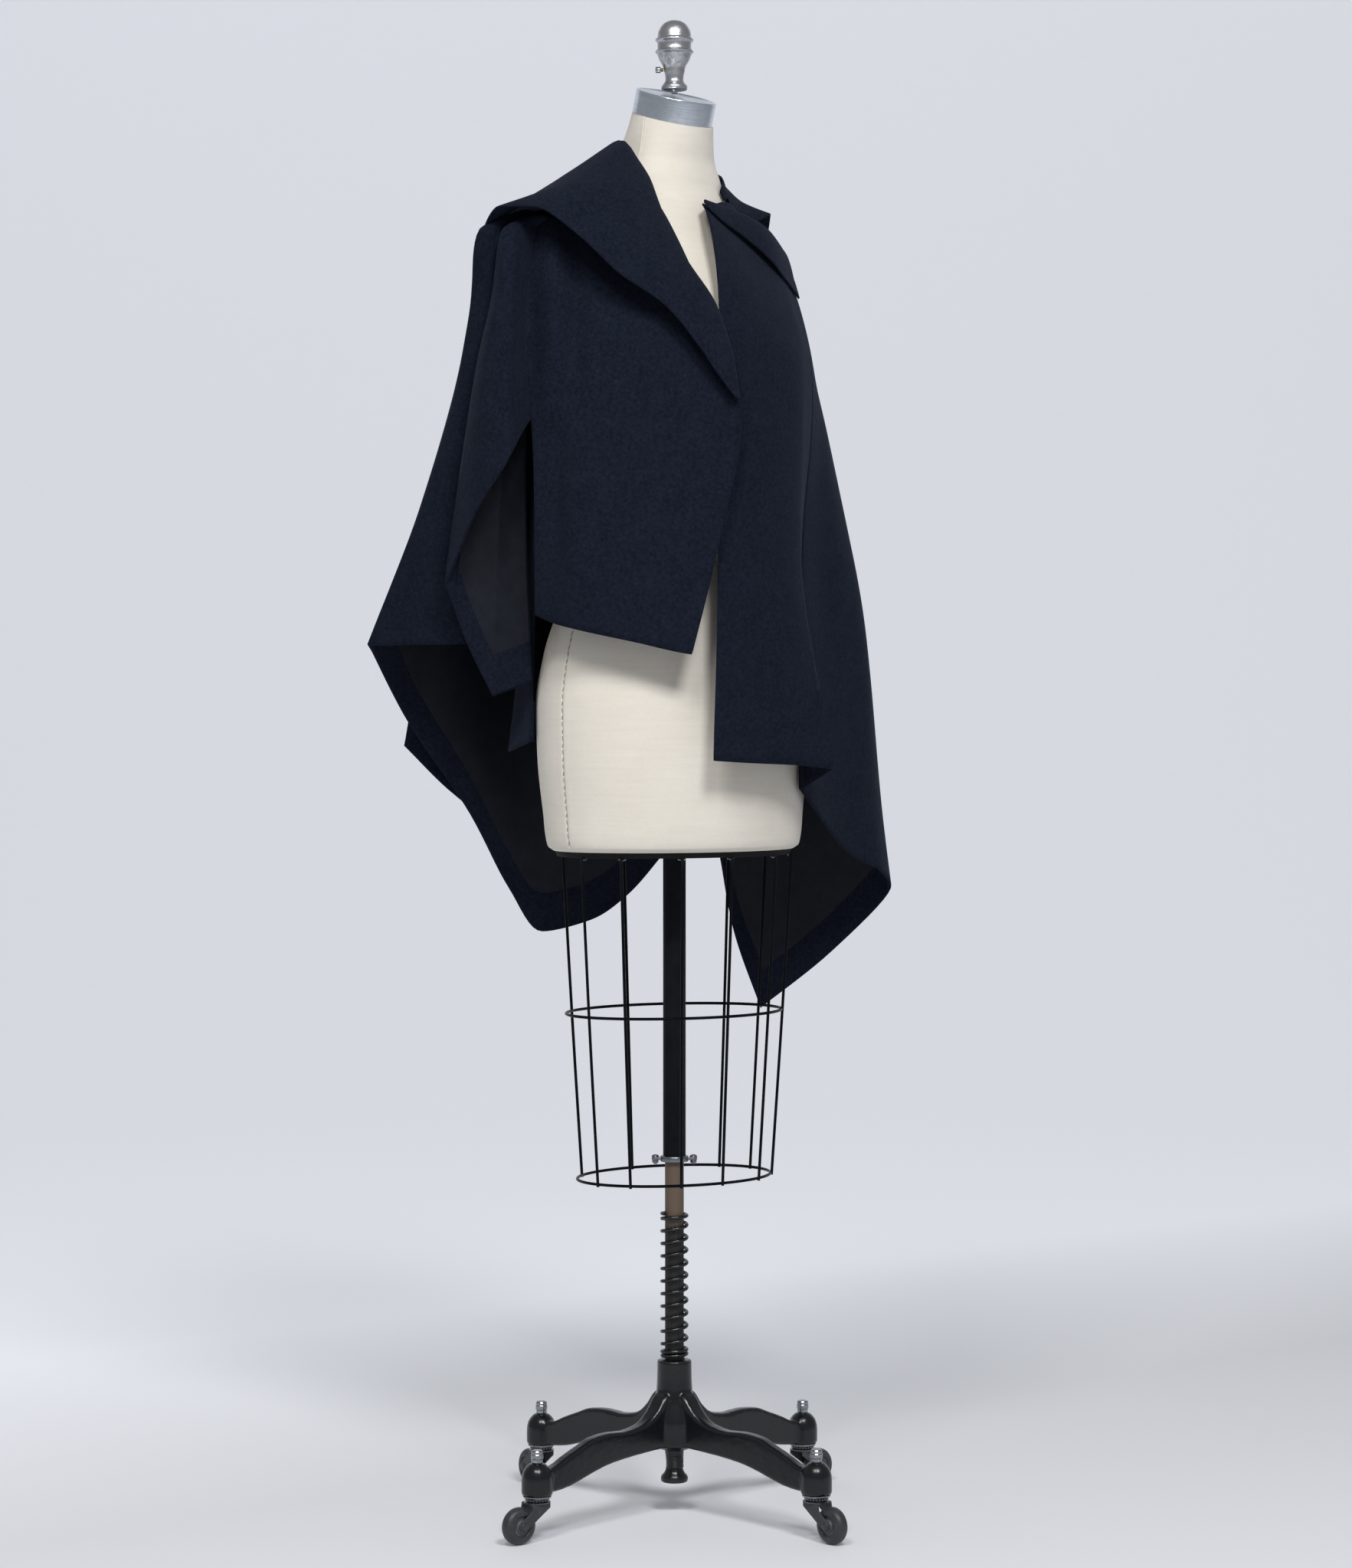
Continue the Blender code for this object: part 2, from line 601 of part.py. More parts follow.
def cast_base(finish):
    """Hub, four arched arms and their caster bosses as one casting, drilled for the caster stems."""
    centre = Matrix.Translation(about_pole(0, 0, 0))
    profile = [(0, POLE_BOTTOM - SEAT), (POLE_RADIUS + SEAT, POLE_BOTTOM - SEAT), (POLE_RADIUS + SEAT, HUB_TOP)]
    profile += [(HUB_RADIUS - 0.003, HUB_TOP)]
    profile += [(r / 1000, h / 1000) for r, h in HUB_PROFILE_MM] + [(0, HUB_BOTTOM)]
    base = turned("cast_base", profile, 16, finish, centre)
    for number, degrees in enumerate(LEG_TURNS):
        combine(base, leg_shape(f"leg_{number}", degrees, finish), "UNION")
        place = Matrix.Translation(about_pole(0, 0, 0) + view_direction(degrees) * LEG_REACH)
        boss = turned(
            f"boss_{number}",
            ((0, BOSS_BOTTOM), (BOSS_RADIUS - 0.001, BOSS_BOTTOM), (BOSS_RADIUS, BOSS_BOTTOM + 0.003),
             (BOSS_RADIUS, 0.0710), (0.0150, 0.0800), (0.0105, 0.0858), (0.0085, BOSS_TOP), (0, BOSS_TOP)),
            14, finish, place,
        )
        combine(base, boss, "UNION")
    for number, degrees in enumerate(LEG_TURNS):
        place = Matrix.Translation(about_pole(0, 0, 0) + view_direction(degrees) * LEG_REACH)
        drill = turned(
            f"drill_{number}",
            ((0, BOSS_BOTTOM - 0.01), (STEM_BORE, BOSS_BOTTOM - 0.01), (STEM_BORE, BOSS_TOP + 0.01),
             (0, BOSS_TOP + 0.01)),
            12, finish, place,
        )
        combine(base, drill, "DIFFERENCE")
    # The bell-shaped foot of the pole's tie rod, under the hub.
    turned(
        "pole_foot",
        ((0, FOOT_BOTTOM), (0.0140, FOOT_BOTTOM), (0.0156, FOOT_BOTTOM + 0.003), (0.0150, FOOT_BOTTOM + 0.007),
         (0.0112, FOOT_BOTTOM + 0.012), (0.0106, FOOT_BOTTOM + 0.020), (0.0110, HUB_BOTTOM - SEAT),
         (0, HUB_BOTTOM - SEAT)),
        16, finish, centre,
    )


CASTERS = (("front_right", 316, 310), ("back_right", 46, 45), ("back_left", 136, 121), ("front_left", 226, 220))


def caster(name, leg_degrees, trail_degrees, black, steel, rubber):
    """Stem with its bearing cup, fork, axle and wheel. The fork trails the stem towards trail_degrees."""
    stem_at = about_pole(0, 0, 0) + view_direction(leg_degrees) * LEG_REACH
    trail = view_direction(trail_degrees)
    side = Vector((0, 0, 1)).cross(trail)
    place = Matrix.Translation(stem_at)
    cup_top, cup_bottom = BOSS_BOTTOM - SEAT, FORK_ROOF + 0.0025 + SEAT
    turned(
        f"stem_{name}",
        ((0, cup_bottom), (0.0135, cup_bottom), (0.0158, cup_top - 0.001), (0.0158, cup_top),
         (STEM_RADIUS, cup_top), (STEM_RADIUS, BOSS_TOP + SEAT), (0.0066, BOSS_TOP + SEAT),
         (0.0066, BOSS_TOP + 0.012), (0.0052, BOSS_TOP + 0.0145), (0, BOSS_TOP + 0.0145)),
        10, steel, place,
    )

    def at(along, across, height):
        return stem_at + trail * along + side * across + Vector((0, 0, height))

    outline = [(-0.0105, FORK_ROOF + 0.0025), (-0.0105, FORK_ROOF - 0.004)]
    eye, eye_radius = (TRAIL, WHEEL_RADIUS), 0.0060
    for degrees in (215, 260, 305, 350, 395):
        angle = math.radians(degrees)
        outline.append((eye[0] + eye_radius * math.cos(angle), eye[1] + eye_radius * math.sin(angle)))
    outline += [(0.0135, FORK_ROOF - 0.001), (0.0135, FORK_ROOF + 0.0025)]
    fork = add_mesh(
        f"fork_{name}",
        *swept([[at(x, w, z) for x, z in outline] for w in (-FORK_OUTER, FORK_OUTER)]), black,
    )
    channel = [(-0.03, FORK_ROOF), (-0.03, -0.01), (0.06, -0.01), (0.06, FORK_ROOF)]
    cut = add_mesh(
        f"fork_channel_{name}",
        *swept([[at(x, w, z) for x, z in channel] for w in (-FORK_INNER, FORK_INNER)]), black,
    )
    combine(fork, cut, "DIFFERENCE")
    aim = side.to_track_quat("Z", "Y").to_matrix().to_4x4()
    axle_place = Matrix.Translation(at(TRAIL, 0, WHEEL_RADIUS)) @ aim
    drill = turned(
        f"fork_drill_{name}",
        ((0, -0.02), (FORK_HOLE, -0.02), (FORK_HOLE, 0.02), (0, 0.02)), 10, black, axle_place,
    )
    combine(fork, drill, "DIFFERENCE")
    out = FORK_OUTER + SEAT
    turned(
        f"axle_{name}",
        ((0, -out - 0.0016), (0.0044, -out - 0.0016), (0.0044, -out), (AXLE_RADIUS, -out), (AXLE_RADIUS, out),
         (0.0044, out), (0.0044, out + 0.0016), (0, out + 0.0016)),
        10, steel, axle_place,
    )
    # The tread's flats lie so that the wheel stands on one, with its outer circle true to size.
    width, shoulder = WHEEL_HALF_WIDTH, 0.0022
    turned(
        f"wheel_{name}",
        ((WHEEL_BORE, -width), (0.0120, -width), (0.0126, -width + 0.0008), (0.0172, -width + 0.0008),
         (WHEEL_RADIUS, -width + 2 * shoulder), (WHEEL_RADIUS, width - 2 * shoulder),
         (0.0172, width - 0.0008), (0.0126, width - 0.0008), (0.0120, width), (WHEEL_BORE, width)),
        16, rubber, axle_place,
    )


# Right front, from its side edge to the front edge.
RIGHT_FRONT_RAILS = (
    Rail((-0.148, -0.124, 1.457), (-0.1545, -0.140, 1.295), (-0.1540, -0.140, 1.125), (-0.1540, -0.134, 1.027)),
    Rail((-0.131, -0.116, 1.467), (-0.1350, -0.144, 1.295), (-0.1350, -0.147, 1.125), (-0.1340, -0.146, 1.018)),
    Rail((-0.113, -0.104, 1.479), (-0.1120, -0.153, 1.290), (-0.1120, -0.165, 1.125), (-0.1100, -0.170, 1.011)),
    Rail((-0.086, -0.082, 1.497), (-0.0800, -0.157, 1.290), (-0.0800, -0.170, 1.115), (-0.0750, -0.180, 1.003)),
    Rail((-0.050, -0.062, 1.517), (-0.0450, -0.157, 1.285), (-0.0450, -0.171, 1.110), (-0.0420, -0.184, 0.996)),
    Rail((-0.022, -0.080, 1.490), (-0.0120, -0.155, 1.280), (-0.0120, -0.170, 1.105), (-0.0120, -0.184, 0.989)),
    Rail((0.012, -0.112, 1.425), (0.0200, -0.150, 1.273), (0.0190, -0.165, 1.100), (0.0070, -0.182, 0.985)),
    Rail((0.050, -0.134, 1.335), (0.0740, -0.140, 1.248), (0.0500, -0.157, 1.110), (0.0190, -0.178, 0.983)),
)
# Left front, from its front edge round to the side seam: the fourth rail is the sharp hanging fold.
LEFT_FRONT_RAILS = (
    Rail((0.0330, -0.049, 1.490), (0.0500, -0.118, 1.355), (0.0490, -0.140, 1.105), (0.0437, -0.165, 0.866)),
    Rail((0.0480, -0.020, 1.486), (0.0830, -0.100, 1.330), (0.0850, -0.118, 1.105), (0.0850, -0.138, 0.863)),
    Rail((0.0680, 0.014, 1.482), (0.1180, -0.062, 1.315), (0.1200, -0.080, 1.110), (0.1350, -0.096, 0.860)),
    Rail((0.0900, 0.044, 1.470), (0.1430, -0.018, 1.305), (0.1420, -0.038, 1.115), (0.1790, -0.060, 0.855)),
    Rail((0.1090, 0.066, 1.454), (0.1530, 0.030, 1.305), (0.1440, 0.004, 1.085), (0.1440, -0.022, 0.831)),
)
# The cape, from its inner edge behind the right sleeve, round the back, to the left side seam.
CAPE_RAILS = (
    Rail((-0.1640, -0.100, 1.455), (-0.1900, -0.088, 1.275), (-0.1980, -0.056, 1.115), (-0.1930, -0.030, 0.998)),
    Rail((-0.1900, -0.132, 1.460), (-0.2200, -0.110, 1.295), (-0.2480, -0.072, 1.125), (-0.2550, -0.038, 0.996)),
    Rail((-0.2165, -0.140, 1.450), (-0.2390, -0.095, 1.305), (-0.2830, -0.055, 1.155), (-0.3490, 0.000, 0.995)),
    Rail((-0.2080, -0.095, 1.460), (-0.2330, -0.040, 1.305), (-0.2720, 0.015, 1.135), (-0.3150, 0.075, 0.917)),
    Rail((-0.1760, -0.042, 1.471), (-0.2120, 0.020, 1.295), (-0.2420, 0.085, 1.065), (-0.2400, 0.135, 0.798)),
    Rail((-0.1380, 0.004, 1.487), (-0.1840, 0.074, 1.285), (-0.2120, 0.138, 1.025), (-0.1960, 0.175, 0.709)),
    Rail((-0.1060, 0.044, 1.507), (-0.1500, 0.120, 1.275), (-0.1760, 0.176, 1.005), (-0.1580, 0.203, 0.656)),
    Rail((-0.0780, 0.072, 1.529), (-0.1120, 0.150, 1.275), (-0.1280, 0.196, 1.005), (-0.1000, 0.222, 0.669)),
    Rail((-0.0560, 0.084, 1.541), (-0.0760, 0.166, 1.275), (-0.0820, 0.210, 1.005), (-0.0560, 0.230, 0.699)),
    Rail((-0.0320, 0.088, 1.543), (-0.0400, 0.168, 1.275), (-0.0380, 0.200, 1.015), (-0.0150, 0.222, 0.746)),
    Rail((-0.0080, 0.090, 1.537), (0.0000, 0.172, 1.285), (0.0120, 0.206, 1.035), (0.0310, 0.215, 0.805)),
    Rail((0.0200, 0.096, 1.525), (0.0380, 0.184, 1.295), (0.0500, 0.216, 1.025), (0.0530, 0.222, 0.753)),
    Rail((0.0460, 0.104, 1.511), (0.0740, 0.186, 1.305), (0.0840, 0.220, 1.005), (0.0700, 0.234, 0.660)),
    Rail((0.0760, 0.112, 1.495), (0.1080, 0.186, 1.305), (0.1300, 0.228, 0.955), (0.1036, 0.238, 0.562)),
    Rail((0.0980, 0.116, 1.474), (0.1360, 0.172, 1.305), (0.1840, 0.214, 0.975), (0.1880, 0.222, 0.631)),
    Rail((0.1110, 0.114, 1.462), (0.1530, 0.150, 1.305), (0.2160, 0.184, 1.005), (0.2570, 0.190, 0.708)),
    Rail((0.1160, 0.104, 1.456), (0.1600, 0.124, 1.305), (0.2190, 0.142, 1.005), (0.2440, 0.148, 0.729)),
    Rail((0.1160, 0.092, 1.455), (0.1600, 0.096, 1.305), (0.2000, 0.100, 1.015), (0.2040, 0.092, 0.753)),
    Rail((0.1130, 0.080, 1.455), (0.1570, 0.062, 1.310), (0.1660, 0.050, 1.055), (0.1700, 0.032, 0.795)),
    Rail((0.1090, 0.066, 1.454), (0.1530, 0.030, 1.305), (0.1440, 0.004, 1.085), (0.1440, -0.022, 0.831)),
)
CAPE_BACK_SEAM = 10

# Right sleeve: the near half is cut away on a slant, the fold is its outer edge, the far half hangs low.
SLEEVE_RAILS = (
    Rail((-0.1492, -0.1249, 1.453), (-0.1585, -0.142, 1.385), (-0.1590, -0.144, 1.315), (-0.1590, -0.143, 1.245)),
    Rail((-0.1700, -0.147, 1.454), (-0.1760, -0.160, 1.375), (-0.1790, -0.166, 1.285), (-0.1830, -0.163, 1.195)),
    Rail((-0.1840, -0.150, 1.452), (-0.1960, -0.160, 1.375), (-0.2060, -0.162, 1.265), (-0.2150, -0.150, 1.147)),
    Rail((-0.1930, -0.146, 1.447), (-0.2100, -0.135, 1.355), (-0.2310, -0.124, 1.225), (-0.2560, -0.086, 1.061)),
    Rail((-0.1850, -0.130, 1.443), (-0.1980, -0.119, 1.345), (-0.2170, -0.094, 1.185), (-0.2350, -0.066, 1.000)),
    Rail((-0.1700, -0.116, 1.430), (-0.1800, -0.104, 1.325), (-0.1960, -0.080, 1.155), (-0.2048, -0.060, 0.937)),
    Rail((-0.1560, -0.116, 1.405), (-0.1610, -0.108, 1.305), (-0.1660, -0.094, 1.145), (-0.1600, -0.082, 0.953)),
)
SLEEVE_FOLD = 3

# The loose layer over the right side of the cape's back: its free corner shows past the cape's slant edge.
OVERLAY_RAILS = (
    Rail((-0.1900, -0.010, 1.440), (-0.2280, 0.030, 1.300), (-0.2750, 0.090, 1.110), (-0.3180, 0.150, 0.878)),
    Rail((-0.1700, 0.020, 1.455), (-0.2060, 0.082, 1.290), (-0.2400, 0.142, 1.060), (-0.2620, 0.192, 0.820)),
    Rail((-0.1300, 0.060, 1.480), (-0.1660, 0.132, 1.280), (-0.1920, 0.188, 1.020), (-0.1950, 0.224, 0.775)),
    Rail((-0.0950, 0.092, 1.495), (-0.1160, 0.170, 1.270), (-0.1300, 0.220, 1.000), (-0.1200, 0.250, 0.790)),
)
OVERLAY_FROM_RAIL = 4

# Inner back of the jacket, from the right side seam round to the left one.
BACK_RAILS = (
    Rail((-0.1430, -0.098, 1.385), (-0.1500, -0.080, 1.235), (-0.1620, -0.060, 1.055), (-0.1740, -0.040, 0.891)),
    Rail((-0.1450, -0.056, 1.385), (-0.1550, -0.030, 1.255), (-0.1700, 0.000, 1.055), (-0.1900, 0.018, 0.873)),
    Rail((-0.1360, -0.006, 1.385), (-0.1520, 0.030, 1.265), (-0.1620, 0.060, 1.055), (-0.1760, 0.066, 0.881)),
    Rail((-0.1130, 0.042, 1.385), (-0.1350, 0.074, 1.275), (-0.1400, 0.100, 1.055), (-0.1420, 0.112, 0.889)),
    Rail((-0.0760, 0.096, 1.385), (-0.0960, 0.112, 1.285), (-0.0950, 0.126, 1.055), (-0.0900, 0.148, 0.891)),
    Rail((-0.0180, 0.122, 1.385), (-0.0300, 0.132, 1.285), (-0.0200, 0.150, 1.055), (-0.0150, 0.170, 0.891)),
    Rail((0.0520, 0.128, 1.385), (0.0560, 0.142, 1.285), (0.0600, 0.150, 1.055), (0.0700, 0.172, 0.889)),
    Rail((0.1040, 0.112, 1.385), (0.1240, 0.118, 1.295), (0.1234, 0.1095, 1.055), (0.1400, 0.126, 0.885)),
    Rail((0.1290, 0.074, 1.385), (0.1450, 0.066, 1.285), (0.1373, 0.0497, 1.065), (0.1640, 0.052, 0.881)),
)

# Right collar and lapel in one leaf, from the back seam to the break of the front edge.
RIGHT_COLLAR_LEAVES = (
    Leaf((-0.0560, 0.078, 1.540), (-0.0575, 0.079, 1.570), (-0.0830, 0.104, 1.545), (-0.1150, 0.150, 1.455)),
    Leaf((-0.0780, 0.042, 1.535), (-0.0790, 0.042, 1.554), (-0.1180, 0.056, 1.532), (-0.1750, 0.085, 1.460)),
    Leaf((-0.0760, 0.000, 1.528), (-0.0765, -0.002, 1.556), (-0.1280, -0.014, 1.522), (-0.2070, -0.035, 1.474)),
    Leaf((-0.0660, -0.028, 1.527), (-0.0655, -0.030, 1.564), (-0.1250, -0.086, 1.510), (-0.2121, -0.122, 1.460)),
    Leaf((-0.0560, -0.040, 1.523), (-0.0560, -0.045, 1.562), (-0.1150, -0.118, 1.509), (-0.1925, -0.158, 1.475)),
    Leaf((-0.0320, -0.060, 1.514), (-0.0290, -0.064, 1.529), (-0.0850, -0.137, 1.500), (-0.1540, -0.169, 1.474)),
    Leaf((-0.0056, -0.0868, 1.4674), (-0.0027, -0.090, 1.474), (-0.0560, -0.148, 1.461), (-0.1060, -0.174, 1.445)),
    Leaf((0.0186, -0.111, 1.419), (0.0209, -0.114, 1.423), (-0.0180, -0.156, 1.415), (-0.0600, -0.173, 1.404)),
    Leaf((0.0420, -0.127, 1.369), (0.0443, -0.130, 1.373), (0.0180, -0.157, 1.374), (-0.0100, -0.168, 1.366)),
    Leaf((0.0540, -0.1350, 1.337), (0.0565, -0.139, 1.340), (0.0430, -0.156, 1.340), (0.0300, -0.163, 1.334)),
    Leaf((0.0660, -0.1416, 1.287), (0.0685, -0.146, 1.289), (0.0660, -0.150, 1.291), (0.0625, -0.153, 1.291)),
)
# Left collar, from the back seam to its point over the left shoulder.
LEFT_COLLAR_LEAVES = (
    Leaf((-0.0560, 0.078, 1.540), (-0.0575, 0.079, 1.570), (-0.0830, 0.104, 1.545), (-0.1150, 0.150, 1.455)),
    Leaf((-0.0270, 0.089, 1.545), (-0.0270, 0.091, 1.574), (-0.0310, 0.130, 1.552), (-0.0420, 0.192, 1.452)),
    Leaf((0.0060, 0.086, 1.540), (0.0065, 0.088, 1.566), (0.0250, 0.126, 1.540), (0.0480, 0.196, 1.456)),
    Leaf((0.0290, 0.070, 1.529), (0.0300, 0.070, 1.553), (0.0620, 0.106, 1.526), (0.1080, 0.160, 1.474)),
    Leaf((0.0440, 0.050, 1.510), (0.0450, 0.050, 1.531), (0.0760, 0.078, 1.513), (0.1150, 0.118, 1.4950)),
    Leaf((0.0490, 0.024, 1.502), (0.0500, 0.024, 1.513), (0.0760, 0.054, 1.500), (0.1040, 0.088, 1.4870)),
)
# Left lapel: a narrow leaf turned back off the left front's top edge, one row for each of that front's rails.
LEFT_LAPEL_LEAVES = (
    Leaf((0.0330, -0.049, 1.494), (0.0350, -0.054, 1.497), (0.0365, -0.058, 1.493), (0.0370, -0.060, 1.488)),
    Leaf((0.0480, -0.020, 1.492), (0.0530, -0.028, 1.491), (0.0550, -0.036, 1.483), (0.0550, -0.044, 1.472)),
    Leaf((0.0680, 0.014, 1.488), (0.0780, 0.002, 1.485), (0.0820, -0.010, 1.470), (0.0820, -0.020, 1.455)),
    Leaf((0.0900, 0.044, 1.478), (0.1060, 0.034, 1.472), (0.1120, 0.018, 1.450), (0.1130, 0.006, 1.430)),
    Leaf((0.1090, 0.066, 1.462), (0.1290, 0.086, 1.449), (0.1370, 0.078, 1.423), (0.1400, 0.066, 1.402)),
)


def jacket(wool, facing, lining):
    close = WOOL / 2 + 0.0012
    over = close + WOOL + 0.0012
    right_front = cloth_grid(RIGHT_FRONT_RAILS, 2, 11)
    wall("right_front", rest_on_form(right_front, over), WOOL, wool)
    left_front = drawn_in(cloth_grid(LEFT_FRONT_RAILS, 2, 12), last=SIDE_SEAM_GAP)
    left_front = rest_on_form(left_front, close)
    wall("left_front", left_front, WOOL, wool)
    lapel = drawn_in(cloth_grid(LEFT_LAPEL_LEAVES, 2, 5), last=0.004)
    lapel = clear_of(rest_on_form(lapel, over + 0.001), left_front, WOOL + 0.0014)
    lapel[0] = (left_front - grid_normals(left_front) * WOOL)[0]
    lapel[0, -1] = lapel[0, -1] * 0.6 + lapel[0, -2] * 0.4
    wall("left_lapel", lapel, WOOL, wool)

    cape = cloth_grid(CAPE_RAILS, 2, 12, FACING_WIDTH)
    seam = CAPE_BACK_SEAM * 2
    right = drawn_in(cape[:, : seam + 1], last=SEAM_GAP)
    left = drawn_in(cape[:, seam:], first=SEAM_GAP, last=SIDE_SEAM_GAP)
    under = WOOL / 2 + LAYER_GAP + LINING / 2
    rows = cape.shape[0] - 1
    right, left = rest_on_form(right, close), rest_on_form(left, close)
    for side, panel in (("right", right), ("left", left)):
        wall(f"{side}_cape", panel, WOOL, wool)
        width = (0, panel.shape[1] - 1)
        inside_layer(f"{side}_cape_facing", panel, (rows - 2, rows), width, LINING, facing, under,
                     trim_bottom=0.001)
        inside_layer(f"{side}_cape_lining", panel, (5, rows - 2), width, LINING, lining, under,
                     trim_bottom=SEAM_GAP)
    overlay = cloth_grid(OVERLAY_RAILS, 2, 9)
    first = OVERLAY_FROM_RAIL * 2
    sewn = (right + grid_normals(right) * (WOOL + SEAM_GAP))[:, first : first + overlay.shape[1]]
    overlay[0], overlay[1] = sewn[0], (sewn[1] + overlay[1]) / 2
    wall("cape_overlay", overlay, WOOL, wool)

    sleeve = cloth_grid(SLEEVE_RAILS, 2, 11, FACING_WIDTH)
    wall("right_sleeve", sleeve, WOOL, wool)
    rows = sleeve.shape[0] - 1
    far = (SLEEVE_FOLD * 2 + 1, sleeve.shape[1] - 1)
    inside_layer("right_sleeve_facing", sleeve, (rows - 2, rows), far, LINING, facing, under,
                 trim_bottom=0.001)
    inside_layer("right_sleeve_lining", sleeve, (4, rows - 2), far, LINING, lining, under,
                 trim_bottom=SEAM_GAP)

    back = rest_on_form(cloth_grid(BACK_RAILS, 2, 8, FACING_WIDTH), over - 0.0021)
    wall("back", back, WOOL, wool)
    rows = back.shape[0] - 1
    inside_layer("back_facing", back, (rows - 2, rows), (0, back.shape[1] - 1), LINING, facing, under,
                 trim_bottom=0.001)

    for name, leaves in (("right_collar", RIGHT_COLLAR_LEAVES), ("left_collar", LEFT_COLLAR_LEAVES)):
        grid = drawn_in(cloth_grid(leaves, 2, 6), first=SEAM_GAP)
        wall(name, rest_on_form(grid, close + 0.001), WOOL, wool)


def build():
    clear_scene()
    wool = material("navy_wool", (0.012, 0.016, 0.028), 0.95)
    facing = material("navy_wool_facing", (0.014, 0.018, 0.032), 0.95)
    lining = material("brown_black_lining", (0.022, 0.022, 0.028), 0.55)
    linen = material("cream_linen", (0.68, 0.62, 0.50), 0.85)
    steel = material("polished_steel", (0.62, 0.64, 0.67), 0.28, 1.0)
    brass = material("worn_brass", (0.55, 0.45, 0.30), 0.35, 1.0)
    black = material("black_paint", (0.012, 0.013, 0.015), 0.35)
    wood = material("bare_wood", (0.16, 0.11, 0.075), 0.7)
    iron = material("black_cast_iron", (0.014, 0.015, 0.018), 0.38)
    rubber = material("wheel_rubber", (0.03, 0.031, 0.034), 0.6)

    dress_form(linen)
    neck_fittings(steel, brass)
    bottom_board(black)
    cage(black)
    column(black, wood, steel)
    cast_base(iron)
    for name, leg_degrees, trail_degrees in CASTERS:
        caster(name, leg_degrees, trail_degrees, black, steel, rubber)
    jacket(wool, facing, lining)


build()
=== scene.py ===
"""Dressed model of an asymmetric wool cape jacket on a linen dress form with a wire cage and a rolling stand.

Metres, +Z up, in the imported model's frame. Cloth is laid out in the three-quarter frame: across runs to the
right, depth away from the eye and height up from the floor, all measured from the pole's axis.
"""

import json
import math
from collections import namedtuple

import bmesh
import bpy
import numpy as np
from mathutils import Matrix, Vector, noise

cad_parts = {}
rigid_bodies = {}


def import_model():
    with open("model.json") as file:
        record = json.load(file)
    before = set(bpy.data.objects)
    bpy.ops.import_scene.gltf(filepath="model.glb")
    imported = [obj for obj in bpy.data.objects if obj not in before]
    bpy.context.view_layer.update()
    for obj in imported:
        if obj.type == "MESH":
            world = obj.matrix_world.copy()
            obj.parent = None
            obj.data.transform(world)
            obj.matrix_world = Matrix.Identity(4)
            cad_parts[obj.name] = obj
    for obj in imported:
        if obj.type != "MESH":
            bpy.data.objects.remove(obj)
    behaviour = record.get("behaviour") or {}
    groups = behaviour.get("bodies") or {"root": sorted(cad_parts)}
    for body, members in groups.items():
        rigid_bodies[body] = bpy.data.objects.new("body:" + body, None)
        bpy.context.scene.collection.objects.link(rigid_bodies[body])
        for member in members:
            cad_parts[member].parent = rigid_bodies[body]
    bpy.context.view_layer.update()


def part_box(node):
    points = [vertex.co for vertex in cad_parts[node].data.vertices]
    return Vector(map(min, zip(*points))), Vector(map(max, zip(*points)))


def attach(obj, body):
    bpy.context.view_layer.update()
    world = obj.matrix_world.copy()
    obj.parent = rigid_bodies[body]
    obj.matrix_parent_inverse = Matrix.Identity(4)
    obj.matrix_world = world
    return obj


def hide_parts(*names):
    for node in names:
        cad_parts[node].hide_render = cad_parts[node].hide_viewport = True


for startup in list(bpy.data.objects):
    bpy.data.objects.remove(startup, do_unlink=True)
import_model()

# The frame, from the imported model.
THREE_QUARTER_TURN = math.radians(40.0)
POLE_X, POLE_Y = [(low + high) / 2 for low, high in zip(*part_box("pole"))][:2]
SEAT = 0.0003

# Cloth thicknesses and allowances.
WOOL = 0.0024
LINING = 0.0010
LAYER_GAP = 0.0005
SEAM_GAP = 0.0003
SIDE_SEAM_GAP = 0.0004
FACING_WIDTH = 0.045
NECK_TOP = 1.5925
FORM_GAP = 0.0012

# Fineness of the cloth: columns between two rails, rows of a panel and of its facing.
PER_RAIL, ROWS, FACING_ROWS = 8, 72, 8
SEWN_ROWS = 3
HEM_KEEP = 0.75
RIPPLE_STRETCH = 0.45

Rail = namedtuple("Rail", "shoulder upper lower hem")
Leaf = namedtuple("Leaf", "neckline roll fall edge")
Ring = namedtuple("Ring", "height side front back tilt")
Leg = namedtuple("Leg", "reach top bottom half_width")
Push = namedtuple("Push", "centre reach move")
Cut = namedtuple("Cut", "piece width length area held rests_on")


def vec(across, depth, height):
    """A point of the three-quarter frame, in the model's frame."""
    cos, sin = math.cos(THREE_QUARTER_TURN), math.sin(THREE_QUARTER_TURN)
    return Vector((POLE_X + across * cos + depth * sin, POLE_Y - across * sin + depth * cos, height))


def about_pole(x, y, z):
    return Vector((POLE_X + x, POLE_Y + y, z))


# Node trees.
def node(tree, kind, inputs=None, **settings):
    """A shader node with its settings made and its inputs set or linked."""
    made = tree.nodes.new("ShaderNode" + kind)
    for name, value in settings.items():
        setattr(made, name, value)
    for name, value in (inputs or {}).items():
        if isinstance(value, bpy.types.NodeSocket):
            tree.links.new(value, made.inputs[name])
        else:
            made.inputs[name].default_value = value
    return made


def surface(name, roughness=0.5, metallic=0.0):
    """A material with its tree and its shader."""
    made = bpy.data.materials.new(name)
    made.use_nodes = True
    tree = made.node_tree
    shader = tree.nodes["Principled BSDF"]
    shader.inputs["Roughness"].default_value = roughness
    shader.inputs["Metallic"].default_value = metallic
    return made, tree, shader


def place_of(tree, scale=(1, 1, 1), source="Object"):
    coordinates = node(tree, "TexCoord")
    return node(tree, "Mapping", {"Vector": coordinates.outputs[source], "Scale": scale}).outputs[0]


